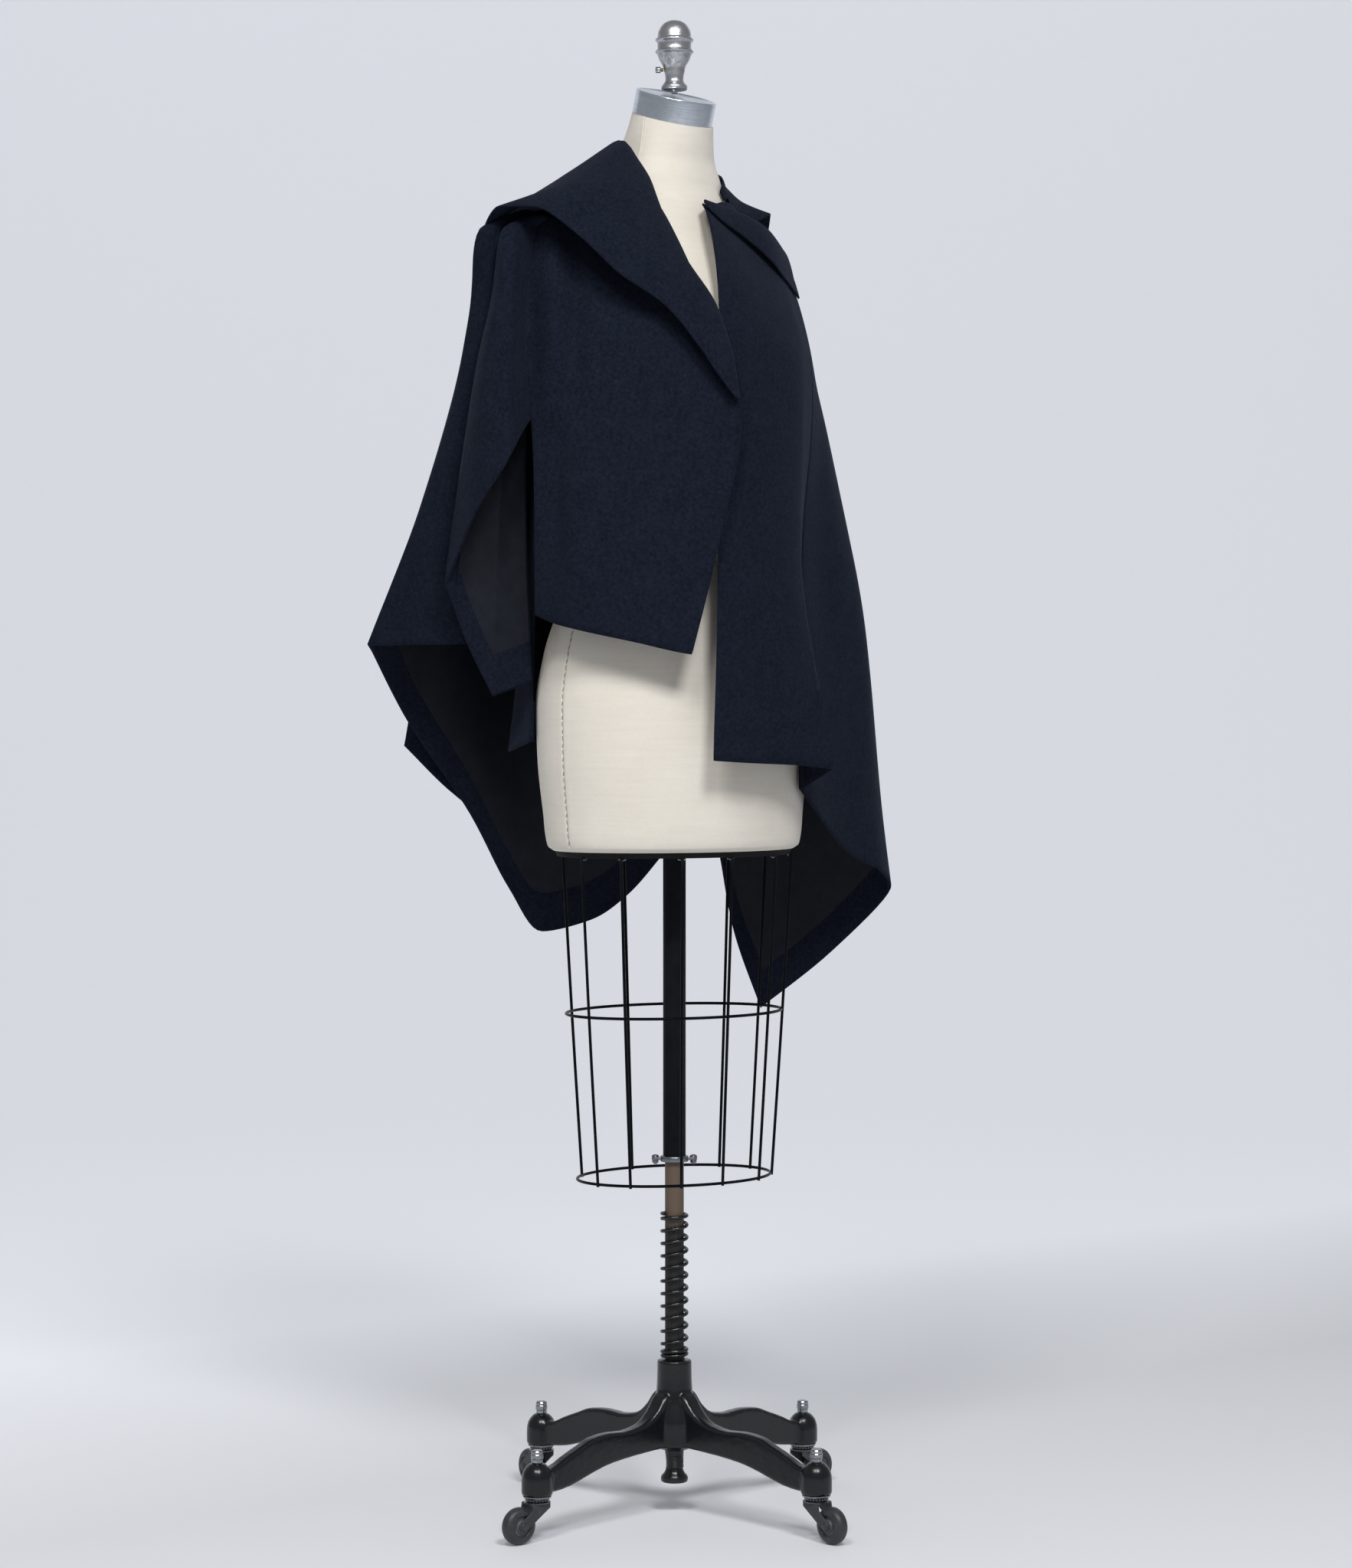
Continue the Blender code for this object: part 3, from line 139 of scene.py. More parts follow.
def grain(tree, place, scale, detail=3.0, roughness=0.6):
    made = node(tree, "TexNoise", {"Vector": place, "Scale": scale, "Detail": detail, "Roughness": roughness})
    return made.outputs["Fac"]


def ramp(tree, factor, low, high, from_min=0.3, from_max=0.7):
    """A colour between low and high as the factor goes from its least to its most."""
    spread = node(tree, "MapRange", {"Value": factor, "From Min": from_min, "From Max": from_max}).outputs[0]
    made = node(tree, "Mix", data_type="RGBA")
    tree.links.new(spread, made.inputs["Factor"])
    made.inputs[6].default_value = (*low, 1)
    made.inputs[7].default_value = (*high, 1)
    return made.outputs[2]


def blend_of(tree, operation, a, b):
    return node(tree, "Math", {0: a, 1: b}, operation=operation).outputs[0]


def weighted(tree, *parts):
    """The sum of the sockets, each times its weight."""
    total = None
    for socket, weight in parts:
        part = blend_of(tree, "MULTIPLY", socket, weight)
        total = blend_of(tree, "ADD", total, part) if total else part
    return total


def relief(tree, shader, height, distance, strength):
    made = node(tree, "Bump", {"Height": height, "Distance": distance, "Strength": strength})
    tree.links.new(made.outputs[0], shader.inputs["Normal"])


def diagonal_lines(tree, place, settings):
    inputs = {"Vector": place, **settings}
    return node(tree, "TexWave", inputs, wave_type="BANDS", bands_direction="DIAGONAL").outputs["Fac"]


def wool_cloth(name, dark, light):
    """Fulled wool: short matted fibres over a faint diagonal of the weave, with a soft bloom at a glance."""
    made, tree, shader = surface(name, 0.93)
    shader.inputs["Specular IOR Level"].default_value = 0.08
    shader.inputs["Sheen Weight"].default_value = 0.045
    shader.inputs["Sheen Roughness"].default_value = 0.42
    shader.inputs["Sheen Tint"].default_value = (0.50, 0.62, 0.90, 1)
    place = place_of(tree)
    cloth = place_of(tree, source="UV")
    fibres = grain(tree, place, 1150, 2.0, 0.7)
    tufts = grain(tree, place, 260, 3.0, 0.62)
    clouds = grain(tree, place, 42, 3.0, 0.55)
    twill = diagonal_lines(tree, cloth, {"Scale": 190, "Distortion": 2.2, "Detail": 2.0, "Detail Scale": 3.0})
    mixed = weighted(tree, (tufts, 0.55), (clouds, 0.15), (fibres, 0.30))
    tree.links.new(ramp(tree, mixed, dark, light, 0.38, 0.62), shader.inputs["Base Color"])
    relief(tree, shader, weighted(tree, (tufts, 0.9), (fibres, 0.5), (twill, 0.10)), 0.0009, 0.75)
    return made


def lining_cloth(name, dark, light):
    """A smooth viscose twill: fine lines in the weave and a low, broad gloss."""
    made, tree, shader = surface(name, 0.50)
    shader.inputs["Specular IOR Level"].default_value = 0.14
    shader.inputs["Sheen Weight"].default_value = 0.03
    place = place_of(tree)
    cloth = place_of(tree, source="UV")
    clouds = grain(tree, place, 60, 3.0)
    tree.links.new(ramp(tree, clouds, dark, light), shader.inputs["Base Color"])
    lines = diagonal_lines(tree, cloth, {"Scale": 420, "Distortion": 0.6, "Detail": 1.0})
    wrinkles = grain(tree, place_of(tree, (1, 1, 0.35)), 55, 2.0)
    height = blend_of(tree, "ADD", blend_of(tree, "MULTIPLY", lines, 0.12), wrinkles)
    relief(tree, shader, height, 0.0012, 0.5)
    return made


def linen_cloth(name, dark, light):
    """Tightly pulled plain-weave linen: slubbed threads both ways, and faint marks of handling."""
    made, tree, shader = surface(name, 0.82)
    shader.inputs["Specular IOR Level"].default_value = 0.22
    shader.inputs["Sheen Weight"].default_value = 0.12
    weft = grain(tree, place_of(tree, (150, 1500, 1), source="UV"), 1.0, 3.0, 0.55)
    warp = grain(tree, place_of(tree, (1500, 150, 1), source="UV"), 1.0, 3.0, 0.55)
    slubs = grain(tree, place_of(tree, (14, 240, 1), source="UV"), 1.0, 2.0, 0.5)
    marks = grain(tree, place_of(tree), 9, 4.0, 0.6)
    threads = weighted(tree, (weft, 0.5), (warp, 0.5))
    mixed = weighted(tree, (threads, 0.35), (marks, 0.35), (slubs, 0.16))
    tree.links.new(ramp(tree, mixed, dark, light, 0.28, 0.58), shader.inputs["Base Color"])
    relief(tree, shader, threads, 0.00035, 0.45)
    return made


def thread(name, colour):
    made, tree, shader = surface(name, 0.7)
    twist = node(tree, "TexWave", {"Vector": place_of(tree), "Scale": 900, "Distortion": 1.0}).outputs["Fac"]
    tree.links.new(ramp(tree, twist, [c * 0.82 for c in colour], colour, 0, 1), shader.inputs["Base Color"])
    return made


def bright_metal(name, colour, roughness, brushed=None, spots=0.0):
    """Metal with brushing round its axis, uneven polish and small dull spots."""
    made, tree, shader = surface(name, roughness, 1.0)
    scale = brushed or (40, 40, 40)
    strokes = grain(tree, place_of(tree, scale), 1.0 if brushed else 6.0, 4.0, 0.6)
    patches = grain(tree, place_of(tree), 60, 4.0, 0.7)
    mixed = weighted(tree, (strokes, 0.6), (patches, 0.4))
    dull = [channel * 0.72 for channel in colour]
    tree.links.new(ramp(tree, mixed, dull, colour, 0.38, 0.62), shader.inputs["Base Color"])
    spread = {"From Min": 0.35, "From Max": 0.65, "To Min": roughness * 1.5, "To Max": roughness * 0.75}
    rough = node(tree, "MapRange", {"Value": mixed, **spread}).outputs[0]
    tree.links.new(rough, shader.inputs["Roughness"])
    relief(tree, shader, blend_of(tree, "ADD", strokes, patches), 0.0003, 0.25 + spots)
    return made


def black_enamel(name, colour, worn, roughness=0.3, lumps=70.0, wear=0.62, gloss=0.4):
    """Thick black enamel over a rough casting: a lumpy gloss, duller and greyer where it has rubbed."""
    made, tree, shader = surface(name, roughness)
    shader.inputs["Specular IOR Level"].default_value = gloss
    place = place_of(tree)
    skin = grain(tree, place, lumps, 4.0, 0.6)
    scuffs = grain(tree, place, 34, 6.0, 0.72)
    edge = node(tree, "NewGeometry").outputs["Pointiness"]
    worn_edge = node(tree, "MapRange", {"Value": edge, "From Min": 0.52, "From Max": 0.60}).outputs[0]
    rub = node(tree, "MapRange", {"Value": scuffs, "From Min": wear, "From Max": wear + 0.10}).outputs[0]
    rub = blend_of(tree, "MAXIMUM", rub, blend_of(tree, "MULTIPLY", worn_edge, scuffs))
    made_mix = node(tree, "Mix", data_type="RGBA")
    tree.links.new(rub, made_mix.inputs["Factor"])
    made_mix.inputs[6].default_value = (*colour, 1)
    made_mix.inputs[7].default_value = (*worn, 1)
    tree.links.new(made_mix.outputs[2], shader.inputs["Base Color"])
    rough = node(
        tree, "MapRange", {"Value": rub, "To Min": roughness, "To Max": min(roughness + 0.35, 0.9)},
    ).outputs[0]
    tree.links.new(rough, shader.inputs["Roughness"])
    relief(tree, shader, skin, 0.0012, 0.35)
    return made


def bare_wood(name, dark, light):
    """Old hardwood with its grain up the pole, darkened in bands by grease and handling."""
    made, tree, shader = surface(name, 0.62)
    lines = grain(tree, place_of(tree, (900, 900, 16)), 1.0, 4.0, 0.6)
    grease = grain(tree, place_of(tree, (60, 60, 45)), 1.0, 3.0, 0.65)
    height = node(tree, "SeparateXYZ", {"Vector": place_of(tree)}).outputs["Z"]
    spread = {"From Min": 0.322, "From Max": 0.350, "To Min": -0.13, "To Max": 0.20}
    bare = node(tree, "MapRange", {"Value": height, **spread}).outputs[0]
    mixed = blend_of(tree, "ADD", weighted(tree, (lines, 0.40), (grease, 0.60)), bare)
    tree.links.new(ramp(tree, mixed, dark, light, 0.42, 0.62), shader.inputs["Base Color"])
    relief(tree, shader, lines, 0.0004, 0.5)
    return made


def hard_rubber(name, colour, dust):
    made, tree, shader = surface(name, 0.48)
    place = place_of(tree)
    film = grain(tree, place, 90, 5.0, 0.7)
    tree.links.new(ramp(tree, film, colour, dust, 0.45, 0.75), shader.inputs["Base Color"])
    relief(tree, shader, grain(tree, place, 420, 3.0), 0.0003, 0.3)
    return made


WOOL_CLOTH = wool_cloth("navy_wool", (0.0030, 0.0048, 0.0105), (0.0092, 0.0128, 0.0235))
WOOL_FACING = wool_cloth("navy_wool_facing", (0.0032, 0.0050, 0.0108), (0.0096, 0.0132, 0.0240))
LINING_CLOTH = lining_cloth("brown_black_lining", (0.0050, 0.0064, 0.0108), (0.0086, 0.0106, 0.0168))
LINEN = linen_cloth("cream_linen", (0.62, 0.575, 0.500), (0.745, 0.705, 0.630))
LINEN_THREAD = thread("linen_thread", (0.36, 0.30, 0.23))
CAP_METAL = bright_metal("brushed_cap", (0.76, 0.82, 0.90), 0.20, (30, 30, 1800))
FINIAL_METAL = bright_metal("cast_aluminium", (0.54, 0.55, 0.57), 0.30, None, 0.35)
BRASS = bright_metal("worn_brass", (0.50, 0.36, 0.16), 0.34)
STEEL = bright_metal("plated_steel", (0.25, 0.26, 0.28), 0.30)
DARK_STEEL = bright_metal("greasy_spring_steel", (0.060, 0.062, 0.066), 0.26)
BLACK_PAINT = black_enamel(
    "black_paint", (0.0020, 0.0030, 0.0042), (0.014, 0.016, 0.019), 0.20, 160.0, 0.80, 0.03
)
BOARD_PAINT = black_enamel("board_paint", (0.006, 0.006, 0.007), (0.03, 0.028, 0.026), 0.7, 60.0, 0.70, 0.12)
CAST_IRON = black_enamel(
    "black_cast_iron", (0.0040, 0.0048, 0.0062), (0.045, 0.047, 0.052), 0.24, 85.0, 0.68, 0.42
)
FORK_STEEL = black_enamel("dull_fork_steel", (0.030, 0.032, 0.036), (0.11, 0.11, 0.115), 0.42, 120.0, 0.60)
WOOD = bare_wood("bare_wood", (0.0060, 0.0058, 0.0058), (0.100, 0.068, 0.047))
RUBBER = hard_rubber("wheel_rubber", (0.022, 0.0235, 0.027), (0.045, 0.047, 0.052))
WORN_CHROME = bright_metal("worn_chrome", (0.34, 0.36, 0.38), 0.22, None, 0.3)
WHEEL_HUB = hard_rubber("wheel_hub_grey", (0.060, 0.062, 0.068), (0.11, 0.11, 0.12))


# Shapes.
def linked(name, data):
    """A new object of the scene."""
    made = bpy.data.objects.new(name, data)
    bpy.context.scene.collection.objects.link(made)
    return made


def ball(name, make, finish, place, **settings):
    """A small smooth ball at a place."""
    made = linked(name, bpy.data.meshes.new(name))
    shape = bmesh.new()
    make(shape, **settings)
    shape.to_mesh(made.data)
    shape.free()
    made.data.materials.append(finish)
    made.data.shade_smooth()
    made.matrix_world = place
    return made


def add_mesh(name, points, faces, finish, smooth_angle=40.0, uvs=None):
    """A named object of these points and faces, its faces made to point out."""
    mesh = bpy.data.meshes.new(name)
    mesh.from_pydata([tuple(p) for p in points], [], faces)
    if uvs is not None:
        layer = mesh.uv_layers.new(name="cloth")
        index = np.empty(len(mesh.loops), np.int32)
        mesh.loops.foreach_get("vertex_index", index)
        layer.data.foreach_set("uv", np.asarray(uvs, np.float32)[index].ravel())
    shape = bmesh.new()
    shape.from_mesh(mesh)
    bmesh.ops.recalc_face_normals(shape, faces=shape.faces)
    if shape.calc_volume(signed=True) < 0:
        bmesh.ops.reverse_faces(shape, faces=shape.faces)
    shape.to_mesh(mesh)
    shape.free()
    mesh.materials.append(finish)
    mesh.shade_smooth()
    mesh.set_sharp_from_angle(angle=math.radians(smooth_angle))
    return linked(name, mesh)


def settle(obj):
    """The object with its modifiers worked into its mesh."""
    depsgraph = bpy.context.evaluated_depsgraph_get()
    mesh = bpy.data.meshes.new_from_object(obj.evaluated_get(depsgraph), depsgraph=depsgraph)
    obj.modifiers.clear()
    obj.data = mesh
    return obj


def bevel(obj, width, segments=2, angle=35.0):
    modifier = obj.modifiers.new("Bevel", "BEVEL")
    modifier.width = width
    modifier.segments = segments
    modifier.limit_method = "ANGLE"
    modifier.angle_limit = math.radians(angle)
    modifier.harden_normals = False
    return obj


def joined(name, objs):
    """One object of several, with all their materials."""
    target = objs[0]
    shape = bmesh.new()
    finishes = []
    for obj in objs:
        settle(obj)
        obj.data.transform(obj.matrix_world)
        slots = []
        for finish in obj.data.materials:
            if finish not in finishes:
                finishes.append(finish)
            slots.append(finishes.index(finish))
        first = len(shape.faces)
        shape.from_mesh(obj.data)
        shape.faces.ensure_lookup_table()
        for face in shape.faces[first:]:
            face.material_index = slots[face.material_index] if slots else 0
    mesh = bpy.data.meshes.new(name)
    shape.to_mesh(mesh)
    shape.free()
    for finish in finishes:
        mesh.materials.append(finish)
    for obj in objs:
        bpy.data.objects.remove(obj, do_unlink=True)
    return linked(name, mesh)


def dress(obj, body, slot, *nodes):
    """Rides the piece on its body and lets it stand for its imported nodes."""
    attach(obj, body)
    if nodes:
        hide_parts(*nodes)
    return obj


def lathe(profile, sides, place=None):
    """Points and faces of a turned solid: profile rows are (radius, height); radius 0 is a pole."""
    place = place or Matrix.Identity(4)
    points, rings = [], []
    for radius, height in profile:
        if radius < 1e-6:
            rings.append([len(points)])
            points.append(place @ Vector((0, 0, height)))
            continue
        rings.append(list(range(len(points), len(points) + sides)))
        for k in range(sides):
            angle = 2 * math.pi * (k + 0.5) / sides
            points.append(place @ Vector((radius * math.cos(angle), radius * math.sin(angle), height)))
    faces = []
    pairs = list(zip(rings, rings[1:]))
    closed_loop = len(rings[0]) > 1 and len(rings[-1]) > 1
    if closed_loop:
        pairs.append((rings[-1], rings[0]))
    for low, high in pairs:
        for k in range(sides):
            n = (k + 1) % sides
            corners = [low[k % len(low)], low[n % len(low)], high[n % len(high)], high[k % len(high)]]
            faces.append(list(dict.fromkeys(corners)))
    return points, faces


def turned(name, profile, sides, finish, place=None, smooth_angle=40.0):
    return add_mesh(name, *lathe(profile, sides, place), finish, smooth_angle)


def swept(sections, closed=False):
    """Points and faces of a tube through equal rings of points, capped unless it closes on itself."""
    sides = len(sections[0])
    points = [p for ring in sections for p in ring]
    count = len(sections)
    faces = []
    for i in range(count if closed else count - 1):
        a, b = i * sides, ((i + 1) % count) * sides
        for k in range(sides):
            n = (k + 1) % sides
            faces.append([a + k, a + n, b + n, b + k])
    if not closed:
        faces.append(list(range(sides))[::-1])
        faces.append(list(range((count - 1) * sides, count * sides)))
    return points, faces


def round_section(centre, along, radius, sides, up=Vector((0, 0, 1))):
    along = along.normalized()
    side = along.cross(up)
    if side.length < 1e-3:
        side = along.cross(Vector((1, 0, 0)))
    side.normalize()
    other = side.cross(along)
    turns = [2 * math.pi * k / sides for k in range(sides)]
    return [centre + radius * (math.cos(t) * side + math.sin(t) * other) for t in turns]


def tube_sections(path, radius, sides, closed=False):
    sections = []
    for i, centre in enumerate(path):
        before = path[i - 1] if i or closed else path[i]
        after = path[(i + 1) % len(path)] if closed or i + 1 < len(path) else path[i]
        sections.append(round_section(centre, after - before, radius, sides))
    return sections


def slopes_of(xs, ys):
    """Slopes for a curve through the points that never overshoots them."""
    steps = np.diff(xs)
    rises = np.diff(ys) / steps
    slopes = np.zeros(len(xs))
    for i in range(1, len(xs) - 1):
        if rises[i - 1] * rises[i] > 0:
            w1, w2 = 2 * steps[i] + steps[i - 1], steps[i] + 2 * steps[i - 1]
            slopes[i] = (w1 + w2) / (w1 / rises[i - 1] + w2 / rises[i])
    slopes[0], slopes[-1] = rises[0], rises[-1]
    return slopes


def curve_through(xs, values, at):
    """Values of the no-overshoot curve through (xs, values), each column on its own."""
    xs, values, at = np.asarray(xs, float), np.asarray(values, float), np.asarray(at, float)
    out = np.empty((len(at), values.shape[1]))
    index = np.clip(np.searchsorted(xs, at, side="right") - 1, 0, len(xs) - 2)
    h = xs[index + 1] - xs[index]
    t = (at - xs[index]) / h
    for c in range(values.shape[1]):
        y, d = values[:, c], slopes_of(xs, values[:, c])
        out[:, c] = (
            (1 + 2 * t) * (1 - t) ** 2 * y[index]
            + t * (1 - t) ** 2 * h * d[index]
            + t * t * (3 - 2 * t) * y[index + 1]
            + t * t * (t - 1) * h * d[index + 1]
        )
    return out


def chord_lengths(points):
    return np.concatenate([[0.0], np.cumsum(np.linalg.norm(np.diff(points, axis=0), axis=1))])


def across_rails(values, at, corners=()):
    """Values of the curve across the rails, broken at the corner rails."""
    stops = [0, *corners, len(values) - 1]
    out = np.empty((len(at), values.shape[1]))
    for first, last in zip(stops, stops[1:]):
        inside = (at >= first) & (at <= last)
        out[inside] = curve_through(np.arange(first, last + 1), values[first : last + 1], at[inside])
    return out


def cloth_grid(rails, per_rail, rows, corners=(), fine=96):
    """Points [row][column] of a panel hung through its rails, top row first, corners sharp at the hem."""
    rails = np.array([[tuple(p) for p in rail] for rail in rails], float)
    down = []
    for rail in rails:
        lengths = chord_lengths(rail)
        down.append(curve_through(lengths, rail, np.linspace(0, lengths[-1], fine)))
    down = np.array(down)
    at = np.linspace(0, len(rails) - 1, (len(rails) - 1) * per_rail + 1)
    across = []
    for k in range(fine):
        level = across_rails(down[:, k], at)
        if corners:
            sharp = min(max((k / (fine - 1) - 0.35) / 0.5, 0), 1)
            level += sharp * (across_rails(down[:, k], at, corners) - level)
        across.append(level)
    across = np.stack(across)
    columns = []
    for j in range(across.shape[1]):
        line = across[:, j]
        lengths = chord_lengths(line)
        stops = np.linspace(0, lengths[-1], rows + 1)
        columns.append(np.stack([np.interp(stops, lengths, line[:, c]) for c in range(3)], axis=1))
    return np.stack(columns, axis=1)


def grid_normals(grid):
    """Normals of a grid of points, lengthened at folds so that layers stay even."""
    diagonals = np.cross(grid[1:, 1:] - grid[:-1, :-1], grid[1:, :-1] - grid[:-1, 1:])
    faces = diagonals / np.linalg.norm(diagonals, axis=2, keepdims=True)
    padded = np.pad(faces, ((1, 1), (1, 1), (0, 0)), mode="edge")
    around = np.stack([padded[:-1, :-1], padded[:-1, 1:], padded[1:, :-1], padded[1:, 1:]])
    mean = around.sum(axis=0)
    mean /= np.linalg.norm(mean, axis=2, keepdims=True)
    fit = (around * mean).sum(axis=3).mean(axis=0)
    return mean / np.clip(fit, 0.6, 1.0)[..., None]


def drawn_in(grid, first=0.0, last=0.0):
    """The grid with its first and last columns drawn in by these lengths, for a seam's gap."""
    grid = grid.copy()
    for edge, inward, gap in ((0, 1, first), (-1, -2, last)):
        step = grid[:, inward] - grid[:, edge]
        grid[:, edge] += step / np.linalg.norm(step, axis=1, keepdims=True) * gap
    return grid


# Form sections from the hem to the neck: height, half-width, front and back reach, tilt in degrees.
FORM_RINGS = (
    Ring(0.7620, 0.1520, 0.1120, 0.1120, 0),
    Ring(0.7670, 0.1590, 0.1180, 0.1180, 0),
    Ring(0.8050, 0.1640, 0.1215, 0.1240, 0),
    Ring(0.8650, 0.1690, 0.1230, 0.1330, 0),
    Ring(0.9250, 0.1700, 0.1200, 0.1370, 0),
    Ring(0.9850, 0.1610, 0.1120, 0.1270, 0),
    Ring(1.0450, 0.1410, 0.1010, 0.1070, 0),
    Ring(1.0950, 0.1240, 0.0940, 0.0900, 0),
    Ring(1.1350, 0.1190, 0.0930, 0.0840, 0),
    Ring(1.1850, 0.1250, 0.1020, 0.0880, 0),
    Ring(1.2400, 0.1370, 0.1180, 0.0970, 0),
    Ring(1.2850, 0.1440, 0.1270, 0.1030, 0),
    Ring(1.3350, 0.1460, 0.1160, 0.1090, 0),
    Ring(1.3850, 0.1470, 0.0960, 0.1130, 0),
    Ring(1.4200, 0.1410, 0.0740, 0.1110, 0),
    Ring(1.4400, 0.1270, 0.0620, 0.1050, 2),
    Ring(1.4600, 0.1040, 0.0520, 0.0990, 5),
    Ring(1.4800, 0.0840, 0.0450, 0.0940, 8),
    Ring(1.5010, 0.0710, 0.0390, 0.0890, 12),
    Ring(1.5270, 0.0630, 0.0340, 0.0850, 15),
    Ring(1.5500, 0.0530, 0.0340, 0.0700, 17),
    Ring(1.5710, 0.0490, 0.0375, 0.0590, 17),
    Ring(NECK_TOP - SEAT, 0.0460, 0.0420, 0.0500, 17),
)


def form_level(points):
    """How far out points of the three-quarter frame lie: 1 on the form's skin, less inside it."""
    cos, sin = math.cos(THREE_QUARTER_TURN), math.sin(THREE_QUARTER_TURN)
    x = points[..., 0] * cos + points[..., 1] * sin
    y = -points[..., 0] * sin + points[..., 1] * cos
    height, side, front, back, tilt = np.array(FORM_RINGS).T
    lean = np.tan(np.radians(np.interp(points[..., 2], height, tilt)))
    level = points[..., 2] - lean * y
    reach = np.where(y > 0, np.interp(level, height, back), np.interp(level, height, front))
    return np.hypot(x / np.interp(level, height, side), y / reach)


def rest_on_form(grid, gap):
    """The grid with every point nearer to the form's skin than the gap moved straight off it."""
    grid, step = grid.copy(), 0.0005
    for _ in range(8):
        rises = [form_level(grid + step * e) - form_level(grid - step * e) for e in np.eye(3)]
        slope = np.stack(rises, axis=-1) / (2 * step)
        size = np.linalg.norm(slope, axis=-1, keepdims=True)
        short = gap - (form_level(grid)[..., None] - 1) / size
        grid += slope / size * np.clip(short, 0, 0.008)
    return grid


def in_metres(kind, *rows):
    """Rows of the kind, each of points given in millimetres."""
    return tuple(kind(*(tuple(round(value / 1000, 6) for value in point) for point in row)) for row in rows)


# Right front, from its side edge to the front edge.
RIGHT_FRONT_RAILS = in_metres(
    Rail,
    ((-148, -124, 1457), (-154.5, -140, 1295), (-154, -140, 1125), (-154, -134, 1027)),
    ((-131, -116, 1467), (-135, -144, 1295), (-135, -147, 1125), (-134, -146, 1018)),
    ((-113, -104, 1479), (-112, -153, 1290), (-112, -165, 1125), (-110, -170, 1011)),
    ((-86, -82, 1497), (-80, -157, 1290), (-80, -170, 1115), (-75, -180, 1003)),
    ((-50, -62, 1517), (-45, -157, 1285), (-45, -171, 1110), (-42, -184, 996)),
    ((-22, -80, 1490), (-12, -155, 1280), (-12, -170, 1105), (-12, -184, 989)),
    ((12, -112, 1425), (20, -150, 1273), (19, -165, 1100), (7, -182, 985)),
    ((50, -134, 1335), (74, -140, 1248), (50, -157, 1110), (19, -178, 983)),
)
# Left front, from its front edge round to the side seam: the fourth rail is the sharp hanging fold.
LEFT_FRONT_RAILS = in_metres(
    Rail,
    ((33, -49, 1490), (50, -118, 1355), (49, -140, 1105), (43.7, -165, 866)),
    ((48, -20, 1486), (83, -100, 1330), (85, -118, 1105), (85, -138, 863)),
    ((68, 14, 1482), (118, -62, 1315), (120, -80, 1110), (135, -96, 860)),
    ((90, 44, 1470), (143, -18, 1305), (142, -38, 1115), (179, -60, 855)),
    ((109, 66, 1454), (153, 30, 1305), (144, 4, 1085), (144, -22, 831)),
)
LEFT_FRONT_FOLD = 3
# The cape, from its inner edge behind the right sleeve, round the back, to the left side seam.
CAPE_RAILS = in_metres(
    Rail,
    ((-164, -100, 1455), (-190, -88, 1275), (-198, -56, 1115), (-193, -30, 998)),
    ((-190, -132, 1460), (-220, -110, 1295), (-248, -72, 1125), (-255, -38, 996)),
    ((-216.5, -140, 1450), (-239, -95, 1305), (-283, -55, 1155), (-349, 0, 995)),
    ((-208, -95, 1460), (-233, -40, 1305), (-272, 15, 1135), (-315, 75, 917)),
    ((-176, -42, 1471), (-212, 20, 1295), (-242, 85, 1065), (-240, 135, 798)),
    ((-138, 4, 1487), (-184, 74, 1285), (-212, 138, 1025), (-196, 175, 709)),
    ((-106, 44, 1507), (-150, 120, 1275), (-176, 176, 1005), (-158, 203, 656)),
    ((-78, 72, 1529), (-112, 150, 1275), (-128, 196, 1005), (-100, 222, 669)),
    ((-56, 84, 1541), (-76, 166, 1275), (-82, 210, 1005), (-56, 230, 699)),
    ((-32, 88, 1543), (-40, 168, 1275), (-38, 200, 1015), (-15, 222, 746)),
    ((-8, 90, 1537), (0, 172, 1285), (12, 206, 1035), (31, 215, 805)),
    ((20, 96, 1525), (38, 184, 1295), (50, 216, 1025), (53, 222, 753)),
    ((46, 104, 1511), (74, 186, 1305), (84, 220, 1005), (70, 234, 660)),
    ((76, 112, 1495), (108, 186, 1305), (130, 228, 955), (103.6, 238, 562)),
    ((98, 116, 1474), (136, 172, 1305), (184, 214, 975), (188, 222, 631)),
    ((111, 114, 1462), (153, 150, 1305), (216, 184, 1005), (257, 190, 708)),
    ((116, 104, 1456), (160, 124, 1305), (219, 142, 1005), (244, 148, 729)),
    ((116, 92, 1455), (160, 96, 1305), (200, 100, 1015), (204, 92, 753)),
    ((113, 80, 1455), (157, 62, 1310), (166, 50, 1055), (170, 32, 795)),
    ((109, 66, 1454), (153, 30, 1305), (144, 4, 1085), (144, -22, 831)),
)
CAPE_BACK_SEAM = 10
CAPE_CORNERS = (2, 13)
CAPE_LINING_FROM = 30
# Right sleeve: the near half is cut away on a slant, the fold is its outer edge, the far half hangs low.
SLEEVE_RAILS = in_metres(
    Rail,
    ((-149.2, -124.9, 1453), (-158.5, -142, 1385), (-159, -144, 1315), (-159, -143, 1245)),
    ((-170, -147, 1454), (-176, -160, 1375), (-179, -166, 1285), (-183, -163, 1195)),
    ((-184, -150, 1452), (-196, -160, 1375), (-206, -162, 1265), (-215, -150, 1147)),
    ((-193, -146, 1447), (-210, -135, 1355), (-231, -124, 1225), (-256, -86, 1061)),
    ((-185, -130, 1443), (-198, -119, 1345), (-217, -94, 1185), (-235, -66, 1000)),
    ((-170, -116, 1430), (-180, -104, 1325), (-196, -80, 1155), (-204.8, -60, 937)),
    ((-156, -116, 1405), (-161, -108, 1305), (-166, -94, 1145), (-160, -82, 953)),
)
SLEEVE_FOLD, SLEEVE_CORNER = 3, 5
SLEEVE_LINING_FROM = 24
